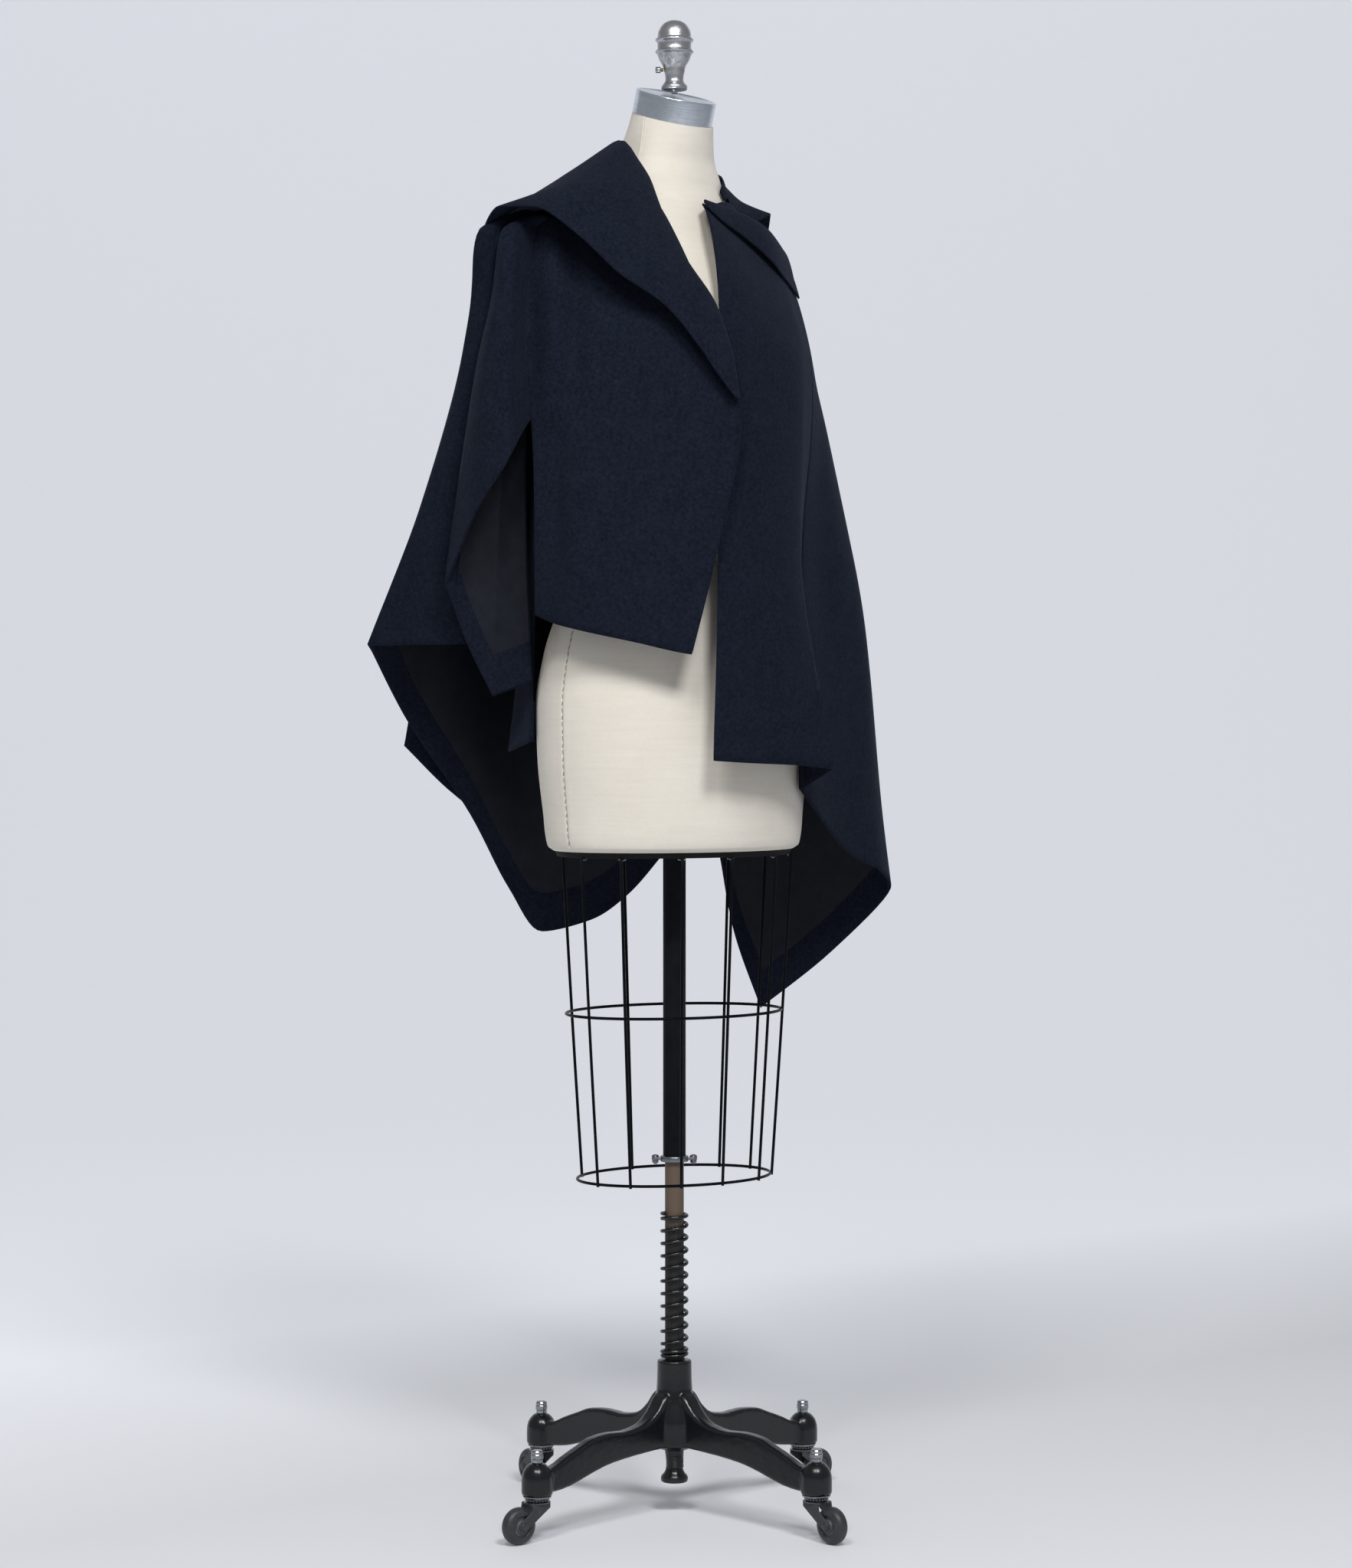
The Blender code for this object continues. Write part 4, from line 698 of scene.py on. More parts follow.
# The loose layer over the right side of the cape's back: its free corner shows past the cape's slant edge.
OVERLAY_RAILS = in_metres(
    Rail,
    ((-190, -10, 1440), (-228, 30, 1300), (-275, 90, 1110), (-318, 150, 878)),
    ((-170, 20, 1455), (-206, 82, 1290), (-240, 142, 1060), (-262, 192, 820)),
    ((-130, 60, 1480), (-166, 132, 1280), (-192, 188, 1020), (-195, 224, 775)),
    ((-95, 92, 1495), (-116, 170, 1270), (-130, 220, 1000), (-120, 250, 790)),
)
OVERLAY_FROM_RAIL = 4
OVERLAY_SEWN_ROWS = 12
# Inner back of the jacket, from the right side seam round to the left one.
BACK_RAILS = in_metres(
    Rail,
    ((-143, -98, 1385), (-150, -80, 1235), (-157, -66, 1055), (-161, -60, 886)),
    ((-145, -56, 1385), (-155, -30, 1255), (-170, 0, 1055), (-190, 18, 873)),
    ((-136, -6, 1385), (-152, 30, 1265), (-162, 60, 1055), (-176, 66, 881)),
    ((-113, 42, 1385), (-135, 74, 1275), (-140, 100, 1055), (-142, 112, 889)),
    ((-76, 96, 1385), (-96, 112, 1285), (-95, 126, 1055), (-90, 148, 891)),
    ((-18, 122, 1385), (-30, 132, 1285), (-20, 150, 1055), (-15, 170, 891)),
    ((52, 128, 1385), (56, 142, 1285), (60, 150, 1055), (70, 172, 889)),
    ((104, 112, 1385), (124, 118, 1295), (123.4, 109.5, 1055), (140, 126, 885)),
    ((129, 74, 1385), (145, 66, 1285), (137.3, 49.7, 1065), (164, 52, 881)),
)

# Right collar and lapel in one leaf, from the back seam to the break of the front edge.
RIGHT_COLLAR_LEAVES = in_metres(
    Leaf,
    ((-56, 78, 1540), (-57.5, 79, 1570), (-83, 104, 1545), (-115, 150, 1455)),
    ((-78, 42, 1535), (-79, 42, 1554), (-118, 56, 1532), (-175, 85, 1460)),
    ((-76, 0, 1528), (-76.5, -2, 1556), (-128, -14, 1522), (-207, -35, 1474)),
    ((-66, -28, 1527), (-65.5, -30, 1564), (-127, -86, 1514), (-210, -124, 1455)),
    ((-56, -40, 1523), (-56, -45, 1562), (-115, -118, 1509), (-192.5, -158, 1475)),
    ((-36, -60, 1514), (-34, -64, 1529), (-85, -137, 1500), (-154, -169, 1474)),
    ((-15.6, -86.8, 1467.4), (-12.7, -90, 1474), (-58, -148, 1461), (-106, -174, 1443)),
    ((9.6, -111, 1419), (11.9, -114, 1423), (-22, -156, 1415), (-60, -174, 1400)),
    ((42, -127, 1369), (44.3, -130, 1373), (18, -157, 1374), (-10, -168, 1366)),
    ((54, -135, 1337), (56.5, -139, 1340), (40, -157, 1336), (24, -166, 1326)),
    ((64, -140, 1300), (66.5, -145, 1302), (58, -154, 1298), (49, -160, 1290)),
    ((69, -143, 1266), (71.2, -148, 1267), (70.5, -151, 1266), (69, -154, 1264)),
)
# Left collar, from the back seam to its point over the left shoulder.
LEFT_COLLAR_LEAVES = in_metres(
    Leaf,
    ((-56, 78, 1540), (-57.5, 79, 1570), (-83, 104, 1545), (-115, 150, 1455)),
    ((-27, 89, 1545), (-27, 91, 1574), (-31, 130, 1552), (-42, 192, 1452)),
    ((6, 86, 1540), (6.5, 88, 1566), (25, 126, 1540), (48, 196, 1456)),
    ((29, 70, 1529), (30, 70, 1553), (62, 106, 1526), (108, 160, 1474)),
    ((39, 46, 1514), (39, 42, 1537), (74, 78, 1510), (112, 118, 1499)),
    ((41, 12, 1498), (41, 8, 1511), (70, 47, 1496), (96, 83, 1486.5)),
)
# Left lapel: a narrow leaf turned back off the left front's top edge, one row for each of that front's rails.
LEFT_LAPEL_LEAVES = in_metres(
    Leaf,
    ((33, -49, 1492), (34.2, -53, 1494.5), (35.5, -57, 1491), (36, -59, 1487)),
    ((48, -20, 1492), (53, -28, 1491), (55, -36, 1483), (55, -44, 1472)),
    ((68, 14, 1488), (78, 2, 1485), (82, -10, 1470), (82, -20, 1455)),
    ((90, 44, 1478), (106, 34, 1472), (112, 18, 1450), (113, 6, 1430)),
    ((109, 66, 1462), (129, 86, 1449), (137.5, 78, 1423), (142, 62, 1392)),
)
# Where the cloth swells or sinks between its rails.
SHOULDER_PUSHES = (
    Push((-0.1600, -0.1400, 1.345), (0.030, 0.060, 0.100), (-0.0100, 0.0, 0.0)),
    Push((-0.1600, -0.1450, 1.370), (0.012, 0.050, 0.110), (0.0, 0.0100, 0.0)),
    Push((-0.2100, -0.1500, 1.400), (0.030, 0.050, 0.070), (0.0075, 0.0, 0.0)),
)
RIGHT_FRONT_PUSHES = SHOULDER_PUSHES[:2] + (
    Push((-0.1340, -0.1500, 1.370), (0.014, 0.060, 0.110), (0.0, -0.0080, 0.0)),
    Push((-0.1090, -0.1550, 1.360), (0.011, 0.060, 0.120), (0.0, 0.0095, 0.0)),
    Push((-0.1250, -0.1500, 1.150), (0.009, 0.060, 0.130), (0.0, 0.0045, 0.0)),
    Push((-0.0450, -0.1600, 1.120), (0.040, 0.080, 0.120), (0.0, -0.0040, 0.0)),
)
LEFT_SHOULDER_PUSHES = (
    Push((0.1600, 0.0600, 1.240), (0.060, 0.110, 0.090), (0.0050, 0.0, 0.0)),
    Push((0.2160, 0.1800, 1.000), (0.070, 0.090, 0.150), (0.0080, 0.0, 0.0)),
)
CAPE_TOP_PUSHES = (
    Push((-0.2240, -0.1250, 1.385), (0.040, 0.070, 0.050), (0.0060, 0.0, 0.0)),
)
# How far each rail is carried on over the shoulder, in the order of its panel's rails.
RIGHT_FRONT_CROWN = (0.030, 0.026, 0.018, 0.008, 0.004, 0.003, 0.003, 0.003)
LEFT_FRONT_CROWN = (0.002, 0.010, 0.026, 0.034, 0.034)
SLEEVE_CROWN = (0.026, 0.030, 0.030, 0.028, 0.020, 0.008, 0.004)
CAPE_CROWN = (
    0.030, 0.034, 0.036, 0.032, 0.020, 0.008, 0.003, 0.003, 0.003, 0.003, 0.003, 0.003, 0.003,
    0.010, 0.020, 0.028, 0.032, 0.034, 0.034, 0.034,
)


# The dress form.
NECK_TILT = math.radians(17.0)
FORM_COLUMNS, FORM_ROWS = 144, 150
FORM_SIDE_SEAMS = (184.0, -4.0)


def form_point(height, degrees, out=0.0):
    """A point on the linen at this height and turn: 0 is the wearer's left, 90 the back, -90 the front."""
    table = np.array(FORM_RINGS)
    _, side, front, back, tilt = curve_through(table[:, 0], table, [height])[0]
    angle = math.radians(degrees)
    reach = back if math.sin(angle) > 0 else front
    y = (reach + out) * math.sin(angle)
    lean = math.tan(math.radians(tilt)) * y
    return about_pole((side + out) * math.cos(angle), y, height + lean)


def dress_form():
    low, high = FORM_RINGS[0].height, FORM_RINGS[-1].height
    turns = [360 * k / FORM_COLUMNS for k in range(FORM_COLUMNS)]
    for seam in FORM_SIDE_SEAMS:
        turns = [t for t in turns if abs((t - seam + 180) % 360 - 180) > 1.6]
        turns += [(seam + step) % 360 for step in (-1.2, -0.45, 0.0, 0.45, 1.2)]
    turns.sort()
    heights = list(low + (high - low) * np.linspace(0, 1, FORM_ROWS))
    heights[1:1] = [low + 0.0008, low + 0.002, low + 0.0035]
    sections, uvs = [], []
    for height in heights:
        section = []
        for turn in turns:
            sink = 0.0
            for seam in FORM_SIDE_SEAMS:
                off = abs((turn - seam + 180) % 360 - 180)
                sink += 0.0010 * max(0.0, 1 - off / 0.45) - 0.0006 * math.exp(-(((off - 1.2) / 0.8) ** 2))
            section.append(form_point(height, turn, -sink))
            uvs.append((math.radians(turn) * 0.14, height))
        sections.append(section)
    obj = add_mesh("dress_form_linen", *swept(sections), LINEN, 60.0, uvs)
    dress(obj, "form", "linen", "dress_form")


def seam_stitches():
    """Hand stitches that close the linen down the form's sides, slanting to and fro across the seam."""
    pieces = []
    length, pitch, radius = 0.0052, 0.0078, 0.00045
    for seam in FORM_SIDE_SEAMS:
        height = FORM_RINGS[0].height + 0.008
        count = 0
        while height < 1.42:
            slant = 0.35 * (-1) ** count
            path = []
            for t in np.linspace(0, 1, 7):
                out = 0.0001 + 0.0005 * math.sin(math.pi * t)
                path.append(form_point(height + length * t, seam + slant * (t - 0.5) * 2, out))
            pieces.append(tube_sections(path, radius, 6))
            height += pitch
            count += 1
    points, faces = [], []
    for sections in pieces:
        p, f = swept(sections)
        faces += [[len(points) + k for k in face] for face in f]
        points += p
    dress(add_mesh("side_seam_stitches", points, faces, LINEN_THREAD), "form", "linen")


dress_form()
seam_stitches()


# Cloth.
def softened(grid, passes, sharp=()):
    """The grid with its folds eased across the panel, fading to the hem and off the columns kept sharp."""
    eased = grid.copy()
    for _ in range(passes):
        eased[:, 1:-1] = 0.25 * eased[:, :-2] + 0.5 * eased[:, 1:-1] + 0.25 * eased[:, 2:]
    rows, columns = grid.shape[:2]
    down = np.linspace(0, 1, rows)
    keep = HEM_KEEP * np.clip((down - 0.8) / 0.2, 0, 1) ** 2
    hold = np.zeros(columns)
    for centre, reach in sharp:
        hold = np.maximum(hold, np.clip(1 - np.abs(np.arange(columns) - centre) / reach, 0, 1))
    weight = (1 - keep[:, None]) * (1 - hold[None, :])
    return grid + (eased - grid) * weight[..., None]


def rippled(grid, size, wavelength, seed):
    """The grid with low, slow waves along its normals, as hanging wool has, and none at its sewn top row."""
    normals = grid_normals(grid)
    normals /= np.linalg.norm(normals, axis=2, keepdims=True)
    rows, columns = grid.shape[:2]
    moved = grid.copy()
    for r in range(rows):
        grip = min(r / SEWN_ROWS, 1.0)
        for c in range(columns):
            x, y, z = grid[r, c] / wavelength
            wave = noise.noise(Vector((x + seed, y - seed, z * RIPPLE_STRETCH)))
            wave += 0.45 * noise.noise(Vector((2.3 * x - seed, 2.3 * y, 2.3 * z * RIPPLE_STRETCH + seed)))
            moved[r, c] += normals[r, c] * size * grip * wave
    return moved


def lengths_of(grid):
    """Distances down and across the panel from its first corner, for the weave."""
    steps = np.linalg.norm(np.diff(grid, axis=0), axis=2)
    down = np.concatenate([np.zeros((1, grid.shape[1])), np.cumsum(steps, axis=0)])
    middle = grid[grid.shape[0] // 2]
    across = np.concatenate([[0], np.cumsum(np.linalg.norm(np.diff(middle, axis=0), axis=1))])
    return np.stack([np.broadcast_to(across, down.shape), down], axis=-1)


def wall(name, grid, thickness, finish, lift=0.0, normals=None, rolled=True):
    """A closed wall of even thickness about a grid, with its edges rolled round."""
    normals = grid_normals(grid) if normals is None else normals
    rows, columns = grid.shape[:2]
    size = rows * columns
    outer = grid + normals * (lift + thickness / 2)
    inner = grid + normals * (lift - thickness / 2)
    points = [vec(*p) for p in outer.reshape(-1, 3)] + [vec(*p) for p in inner.reshape(-1, 3)]
    cloth = lengths_of(grid).reshape(-1, 2)
    uvs = [tuple(p) for p in cloth] * 2

    def at(row, column):
        return row * columns + column

    faces = []
    for r in range(rows - 1):
        for c in range(columns - 1):
            face = [at(r, c), at(r + 1, c), at(r + 1, c + 1), at(r, c + 1)]
            faces.append(face)
            faces.append([size + k for k in reversed(face)])
    rim = [(0, c) for c in range(columns)]
    rim += [(r, columns - 1) for r in range(1, rows)]
    rim += [(rows - 1, c) for c in range(columns - 2, -1, -1)]
    rim += [(r, 0) for r in range(rows - 2, 0, -1)]
    middle = grid + normals * lift
    first = len(points)
    for r, c in rim:
        inward = middle[min(max(r, 1), rows - 2), min(max(c, 1), columns - 2)] - middle[r, c]
        out = inward / max(np.linalg.norm(inward), 1e-9)
        points.append(vec(*(middle[r, c] - out * thickness * (0.35 if rolled else 0.1))))
        uvs.append(uvs[at(r, c)])
    count = len(rim)
    for k in range(count):
        a, b = at(*rim[k]), at(*rim[(k + 1) % count])
        m, n = first + k, first + (k + 1) % count
        faces.append([a, b, n, m])
        faces.append([m, n, size + b, size + a])
    return add_mesh(name, points, faces, finish, 75.0, uvs)


def inside_layer(name, grid, rows, columns, finish, trim):
    """A facing or lining laid inside a panel, made from its own points and normals, its foot trimmed."""
    part = grid[rows[0] : rows[1] + 1, columns[0] : columns[1] + 1].copy()
    step = part[-2] - part[-1]
    part[-1] += step / np.linalg.norm(step, axis=1, keepdims=True) * trim
    normals = grid_normals(grid)[rows[0] : rows[1] + 1, columns[0] : columns[1] + 1]
    depth = WOOL / 2 + LAYER_GAP + LINING / 2
    return wall(name, part, LINING, finish, lift=-depth, normals=normals, rolled=False)


def woollen(name, grid):
    """A wool panel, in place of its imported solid."""
    dress(wall(f"{name}_cloth", grid, WOOL, WOOL_CLOTH), "form", "wool", name)


def hem_facing(name, grid, columns):
    """The wool band inside a panel's hem."""
    rows = grid.shape[0] - 1
    obj = inside_layer(f"{name}_facing_cloth", grid, (rows - FACING_ROWS, rows), columns, WOOL_FACING, 0.001)
    dress(obj, "form", "wool_facing", f"{name}_facing")


def hem_lining(name, grid, columns, first):
    """The lining above a panel's facing, from its first row."""
    rows = (first, grid.shape[0] - 1 - FACING_ROWS)
    obj = inside_layer(f"{name}_lining_cloth", grid, rows, columns, LINING_CLOTH, SEAM_GAP)
    dress(obj, "form", "lining", f"{name}_lining")


def clear_of(grid, under, gap):
    """The grid with its points held the gap off the middle surface of the panel under them."""
    grid, ways = grid.copy(), grid_normals(under)
    ways /= np.linalg.norm(ways, axis=-1, keepdims=True)
    ways *= np.sign(np.sum(ways * under * (1, 1, 0)))
    spots, ways = under.reshape(-1, 3), ways.reshape(-1, 3)
    for _ in range(3):
        flat = grid.reshape(-1, 3)
        near = np.array([np.square(spots - p).sum(axis=1).argmin() for p in flat]).reshape(grid.shape[:2])
        way = ways[near]
        lift = np.sum((grid - spots[near]) * way, axis=-1, keepdims=True)
        grid += way * np.clip(gap - lift, 0, 0.006)
    return grid


def crowned(rails, insets):
    """Rails carried on over the shoulder towards the neck, so that no cut edge shows under the collar."""
    out = []
    for rail, inset in zip(rails, insets):
        top = np.array(rail[0])
        inward = -top * (1, 1, 0)
        inward /= np.linalg.norm(inward)
        out.append((tuple(top + inward * inset + (0, 0, 0.5 * inset)), *rail))
    return out


def pushed(grid, pushes):
    """The grid with a soft local move round the centre of each push."""
    grid = grid.copy()
    for push in pushes:
        away = (grid - push.centre) / push.reach
        grid += np.exp(-np.square(away).sum(axis=-1, keepdims=True)) * push.move
    return grid


def fine_grid(rails, rows=ROWS, facing=False, corners=()):
    """A panel's grid; with a facing, its last rows share the facing's width evenly."""
    grid = cloth_grid(rails, PER_RAIL, rows, corners)
    if not facing:
        return grid
    out = np.empty((rows + 1, grid.shape[1], 3))
    for j in range(grid.shape[1]):
        line = grid[:, j]
        lengths = chord_lengths(line)
        top = lengths[-1] - FACING_WIDTH
        stops = np.concatenate([
            np.linspace(0, top, rows - FACING_ROWS + 1),
            np.linspace(top, lengths[-1], FACING_ROWS + 1)[1:],
        ])
        out[:, j] = np.stack([np.interp(stops, lengths, line[:, c]) for c in range(3)], axis=1)
    return out


def seamed(grid, edge, reach):
    """The grid with its first columns carried over to run just behind another panel's edge."""
    grid, edge = grid.copy(), edge[np.argsort(edge[:, 2])]
    for r in range(grid.shape[0]):
        goal = np.array([np.interp(grid[r, 0, 2], edge[:, 2], edge[:, c]) for c in range(3)])
        move = goal + (0.0004, 0.0022, 0) - grid[r, 0]
        for j in range(reach):
            grid[r, j] += move * (1 - j / reach) ** 2
    return grid


def kept_sharp(rails, reach=3):
    """The columns of these rails, each with its reach, for a panel that is softened elsewhere."""
    return [(rail * PER_RAIL, reach) for rail in rails]


def jacket():
    """Every panel of the jacket at full fineness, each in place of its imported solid."""
    close = WOOL / 2 + FORM_GAP
    over = close + WOOL + FORM_GAP

    grid = softened(fine_grid(crowned(RIGHT_FRONT_RAILS, RIGHT_FRONT_CROWN)), 5)
    right_front = rest_on_form(rippled(pushed(grid, RIGHT_FRONT_PUSHES), 0.0011, 0.085, 3.1), over)
    woollen("right_front", right_front)

    grid = fine_grid(crowned(LEFT_FRONT_RAILS, LEFT_FRONT_CROWN), corners=(LEFT_FRONT_FOLD,))
    grid = softened(drawn_in(grid, last=SIDE_SEAM_GAP), 4, kept_sharp([LEFT_FRONT_FOLD]))
    left_front = rest_on_form(rippled(pushed(grid, LEFT_SHOULDER_PUSHES), 0.0010, 0.090, 7.7), close)
    woollen("left_front", left_front)

    lapel = drawn_in(fine_grid(LEFT_LAPEL_LEAVES, 24), last=0.004)
    lapel = clear_of(rest_on_form(lapel, over + 0.001), left_front, WOOL + 0.0014)
    lapel[0] = (left_front - grid_normals(left_front) * WOOL)[0]
    lapel[1] = (lapel[0] + lapel[2]) / 2
    woollen("left_lapel", lapel)

    cape = fine_grid(crowned(CAPE_RAILS, CAPE_CROWN), facing=True, corners=CAPE_CORNERS)
    cape = pushed(softened(cape, 4, kept_sharp(CAPE_CORNERS)), LEFT_SHOULDER_PUSHES + CAPE_TOP_PUSHES)
    cape = rippled(cape, 0.0016, 0.110, 1.3)
    seam = CAPE_BACK_SEAM * PER_RAIL
    right = rest_on_form(drawn_in(cape[:, : seam + 1], last=SEAM_GAP), close)
    left = rest_on_form(drawn_in(cape[:, seam:], first=SEAM_GAP, last=SIDE_SEAM_GAP), close)
    for side, panel in (("right", right), ("left", left)):
        width = (0, panel.shape[1] - 1)
        woollen(f"{side}_cape", panel)
        hem_facing(f"{side}_cape", panel, width)
        hem_lining(f"{side}_cape", panel, width, CAPE_LINING_FROM)

    overlay = softened(fine_grid(OVERLAY_RAILS), 3)
    first = OVERLAY_FROM_RAIL * PER_RAIL
    sewn = (right + grid_normals(right) * (WOOL + SEAM_GAP))[:, first : first + overlay.shape[1]]
    for r in range(OVERLAY_SEWN_ROWS):
        overlay[r] = sewn[r] + (overlay[r] - sewn[r]) * (r / OVERLAY_SEWN_ROWS) ** 2
    woollen("cape_overlay", rippled(overlay, 0.0010, 0.090, 5.9))

    sleeve = fine_grid(crowned(SLEEVE_RAILS, SLEEVE_CROWN), facing=True, corners=(SLEEVE_FOLD, SLEEVE_CORNER))
    sharp = kept_sharp([SLEEVE_FOLD], 2) + kept_sharp([SLEEVE_CORNER])
    sleeve = seamed(pushed(softened(sleeve, 4, sharp), SHOULDER_PUSHES), right_front[:, 0], 5)
    far = (SLEEVE_FOLD * PER_RAIL + 3, sleeve.shape[1] - 1)
    woollen("right_sleeve", sleeve)
    hem_facing("right_sleeve", sleeve, far)
    hem_lining("right_sleeve", sleeve, far, SLEEVE_LINING_FROM)

    back = rest_on_form(softened(fine_grid(BACK_RAILS, facing=True), 5), over - 0.0021)
    woollen("back", back)
    hem_facing("back", back, (0, back.shape[1] - 1))

    for side, leaves in (("right", RIGHT_COLLAR_LEAVES), ("left", LEFT_COLLAR_LEAVES)):
        grid = drawn_in(softened(fine_grid(leaves, 40), 3), first=SEAM_GAP)
        woollen(f"{side}_collar", rest_on_form(grid, close + 0.001))


jacket()


# Fittings, cage and stand.
CAP_RADIUS, CAP_HEIGHT, CAP_BACK = 0.0462, 0.0265, 0.004
FINIAL_BASE = 1.6255
FORM_BOTTOM, BOARD_THICKNESS = 0.762, 0.006
BOARD_TOP = FORM_BOTTOM - SEAT
BOARD_FACE = BOARD_TOP - BOARD_THICKNESS
CAGE_WIRE_RADIUS = 0.0017
CAGE_TOP, CAGE_MIDDLE, CAGE_LOW = (0.149, 0.112), (0.1375, 0.103), (0.1235, 0.093)
CAGE_MIDDLE_HEIGHT, CAGE_LOW_HEIGHT = 0.5765, 0.3880
CAGE_HOOPS = (("low", CAGE_LOW, CAGE_LOW_HEIGHT), ("middle", CAGE_MIDDLE, CAGE_MIDDLE_HEIGHT))
CAGE_WIRE_TURNS = (0, 38, 62, 116, 161, -140, -116, -86, -61, -31)
TUBE_RADIUS, TUBE_BORE, TUBE_BOTTOM = 0.0130, 0.0112, 0.411
POLE_RADIUS, POLE_BOTTOM, POLE_TOP = 0.0108, 0.145, 0.640
CLAMP_HEIGHT, CLAMP_REACH = 0.0065, 0.026
SPRING_WIRE, SPRING_RADIUS, SPRING_TOP = 0.0021, 0.0142, 0.345
HUB_TOP, HUB_BOTTOM = 0.1770, 0.073
LEG_REACH = 0.2188
BOSS_RADIUS, BOSS_BOTTOM, BOSS_TOP = 0.0175, 0.0520, 0.0875
FOOT_BOTTOM = 0.036
WHEEL_RADIUS, WHEEL_HALF_WIDTH, TRAIL = 0.0208, 0.0080, 0.026
FORK_INNER, FORK_OUTER, FORK_ROOF = 0.0088, 0.0108, 0.0425

# Finial profile from its foot to its tip, in millimetres: radius, height.
FINIAL_PROFILE_MM = (
    (3.5, -3.7), (3.5, 0.0), (11.5, 0.0), (13.9, 0.6), (14.8, 2.0), (14.9, 3.6), (14.2, 5.4), (12.0, 8.0),
    (10.6, 10.5), (10.2, 13.0), (10.4, 15.5), (11.0, 18.5), (11.7, 21.5), (12.2, 25.0), (13.4, 28.0),
    (15.4, 31.4), (17.4, 35.2), (18.6, 38.5), (19.6, 41.0), (21.2, 42.6), (21.8, 43.7), (21.2, 44.8),
    (19.9, 46.0), (19.3, 48.0), (19.1, 50.3), (19.3, 52.6), (19.9, 54.6), (21.2, 56.0), (21.8, 57.0),
    (21.2, 58.2), (19.6, 59.6), (19.0, 61.5), (18.6, 64.5), (17.6, 68.2), (15.6, 72.0), (12.6, 75.4),
    (8.6, 77.9), (4.2, 79.3),
)
# Hub profile from top to bottom, in millimetres: radius, height.
HUB_PROFILE_MM = (
    (18.4, 177.0), (19.4, 176.2), (19.7, 174.6), (19.7, 166.0), (19.9, 155.0), (20.6, 142.0), (22.5, 130.0),
    (26.0, 119.0), (29.0, 108.0), (29.6, 98.0), (29.0, 90.0), (25.0, 80.0), (18.0, 75.0), (12.0, 73.0),
)
# One arm of the base, from the hub to the boss.
LEG_SECTIONS = (
    Leg(0.008, 0.1420, 0.0790, 0.0120),
    Leg(0.022, 0.1400, 0.0790, 0.0115),
    Leg(0.0275, 0.1350, 0.0786, 0.0112),
    Leg(0.0325, 0.1280, 0.0783, 0.0108),
    Leg(0.040, 0.1205, 0.0779, 0.0103),
    Leg(0.050, 0.1130, 0.0772, 0.0096),
    Leg(0.062, 0.1085, 0.0764, 0.0090),
    Leg(0.085, 0.1055, 0.0745, 0.0082),
    Leg(0.110, 0.1068, 0.0715, 0.0078),
    Leg(0.135, 0.1045, 0.0660, 0.0076),
    Leg(0.152, 0.0985, 0.0612, 0.0076),
    Leg(0.176, 0.0895, 0.0552, 0.0077),
    Leg(0.195, 0.0815, 0.0530, 0.0079),
    Leg(0.212, 0.0785, 0.0525, 0.0080),
)
LEG_TURNS = (46, 136, 226, 316)
BOSS_PROFILE = (
    (0, BOSS_BOTTOM), (0.0162, BOSS_BOTTOM), (0.0172, 0.0530), (BOSS_RADIUS, 0.0550), (BOSS_RADIUS, 0.0680),
    (0.0171, 0.0730), (0.0158, 0.0780), (0.0135, 0.0822), (0.0108, 0.0850), (0.0088, 0.0866),
    (0.0082, BOSS_TOP), (0, BOSS_TOP),
)
# A caster's nut, its radius and height over the boss, and its cup, its radius and drop below the cup's top.
NUT_PROFILE = (
    (0, SEAT), (0.0060, SEAT), (0.0063, 0.0012), (0.0063, 0.0042), (0.0069, 0.0050), (0.0070, 0.0092),
    (0.0064, 0.0102), (0.0066, 0.0126), (0.0058, 0.0141), (0.0050, 0.0145), (0, 0.0141),
)
CUP_PROFILE = (
    (0, 0.0044), (0.0105, 0.0044), (0.0128, 0.0040), (0.0150, 0.0026), (0.0158, 0.0014), (0.0158, 0.0002),
    (0.0150, 0), (0, 0),
)
# Casters: the turns of the leg and of the trail, in degrees.
CASTERS = (
    ("front_right", 316, 310), ("back_right", 46, 45), ("back_left", 136, 121), ("front_left", 226, 220),
)


def view_direction(degrees):
    angle = math.radians(degrees)
    return vec(math.cos(angle), math.sin(angle), 0) - vec(0, 0, 0)


def smooth_profile(rows, steps=4):
    """The profile with rounded runs between its rows; rows are (radius, height)."""
    rows = np.array(rows, float)
    lengths = chord_lengths(rows)
    at = np.linspace(0, lengths[-1], (len(rows) - 1) * steps + 1)
    return [tuple(row) for row in curve_through(lengths, rows, at)]


def tube_piece(name, path, radius, finish, sides=10, closed=False):
    return add_mesh(name, *swept(tube_sections(path, radius, sides, closed), closed), finish, 60.0)


def arc_path(centre, radius, first, last, count, height, lift=0.0):
    turns = np.linspace(math.radians(first), math.radians(last), count)
    return [
        centre(radius * math.cos(t), radius * math.sin(t), height + lift * k / max(count - 1, 1))
        for k, t in enumerate(turns)
    ]


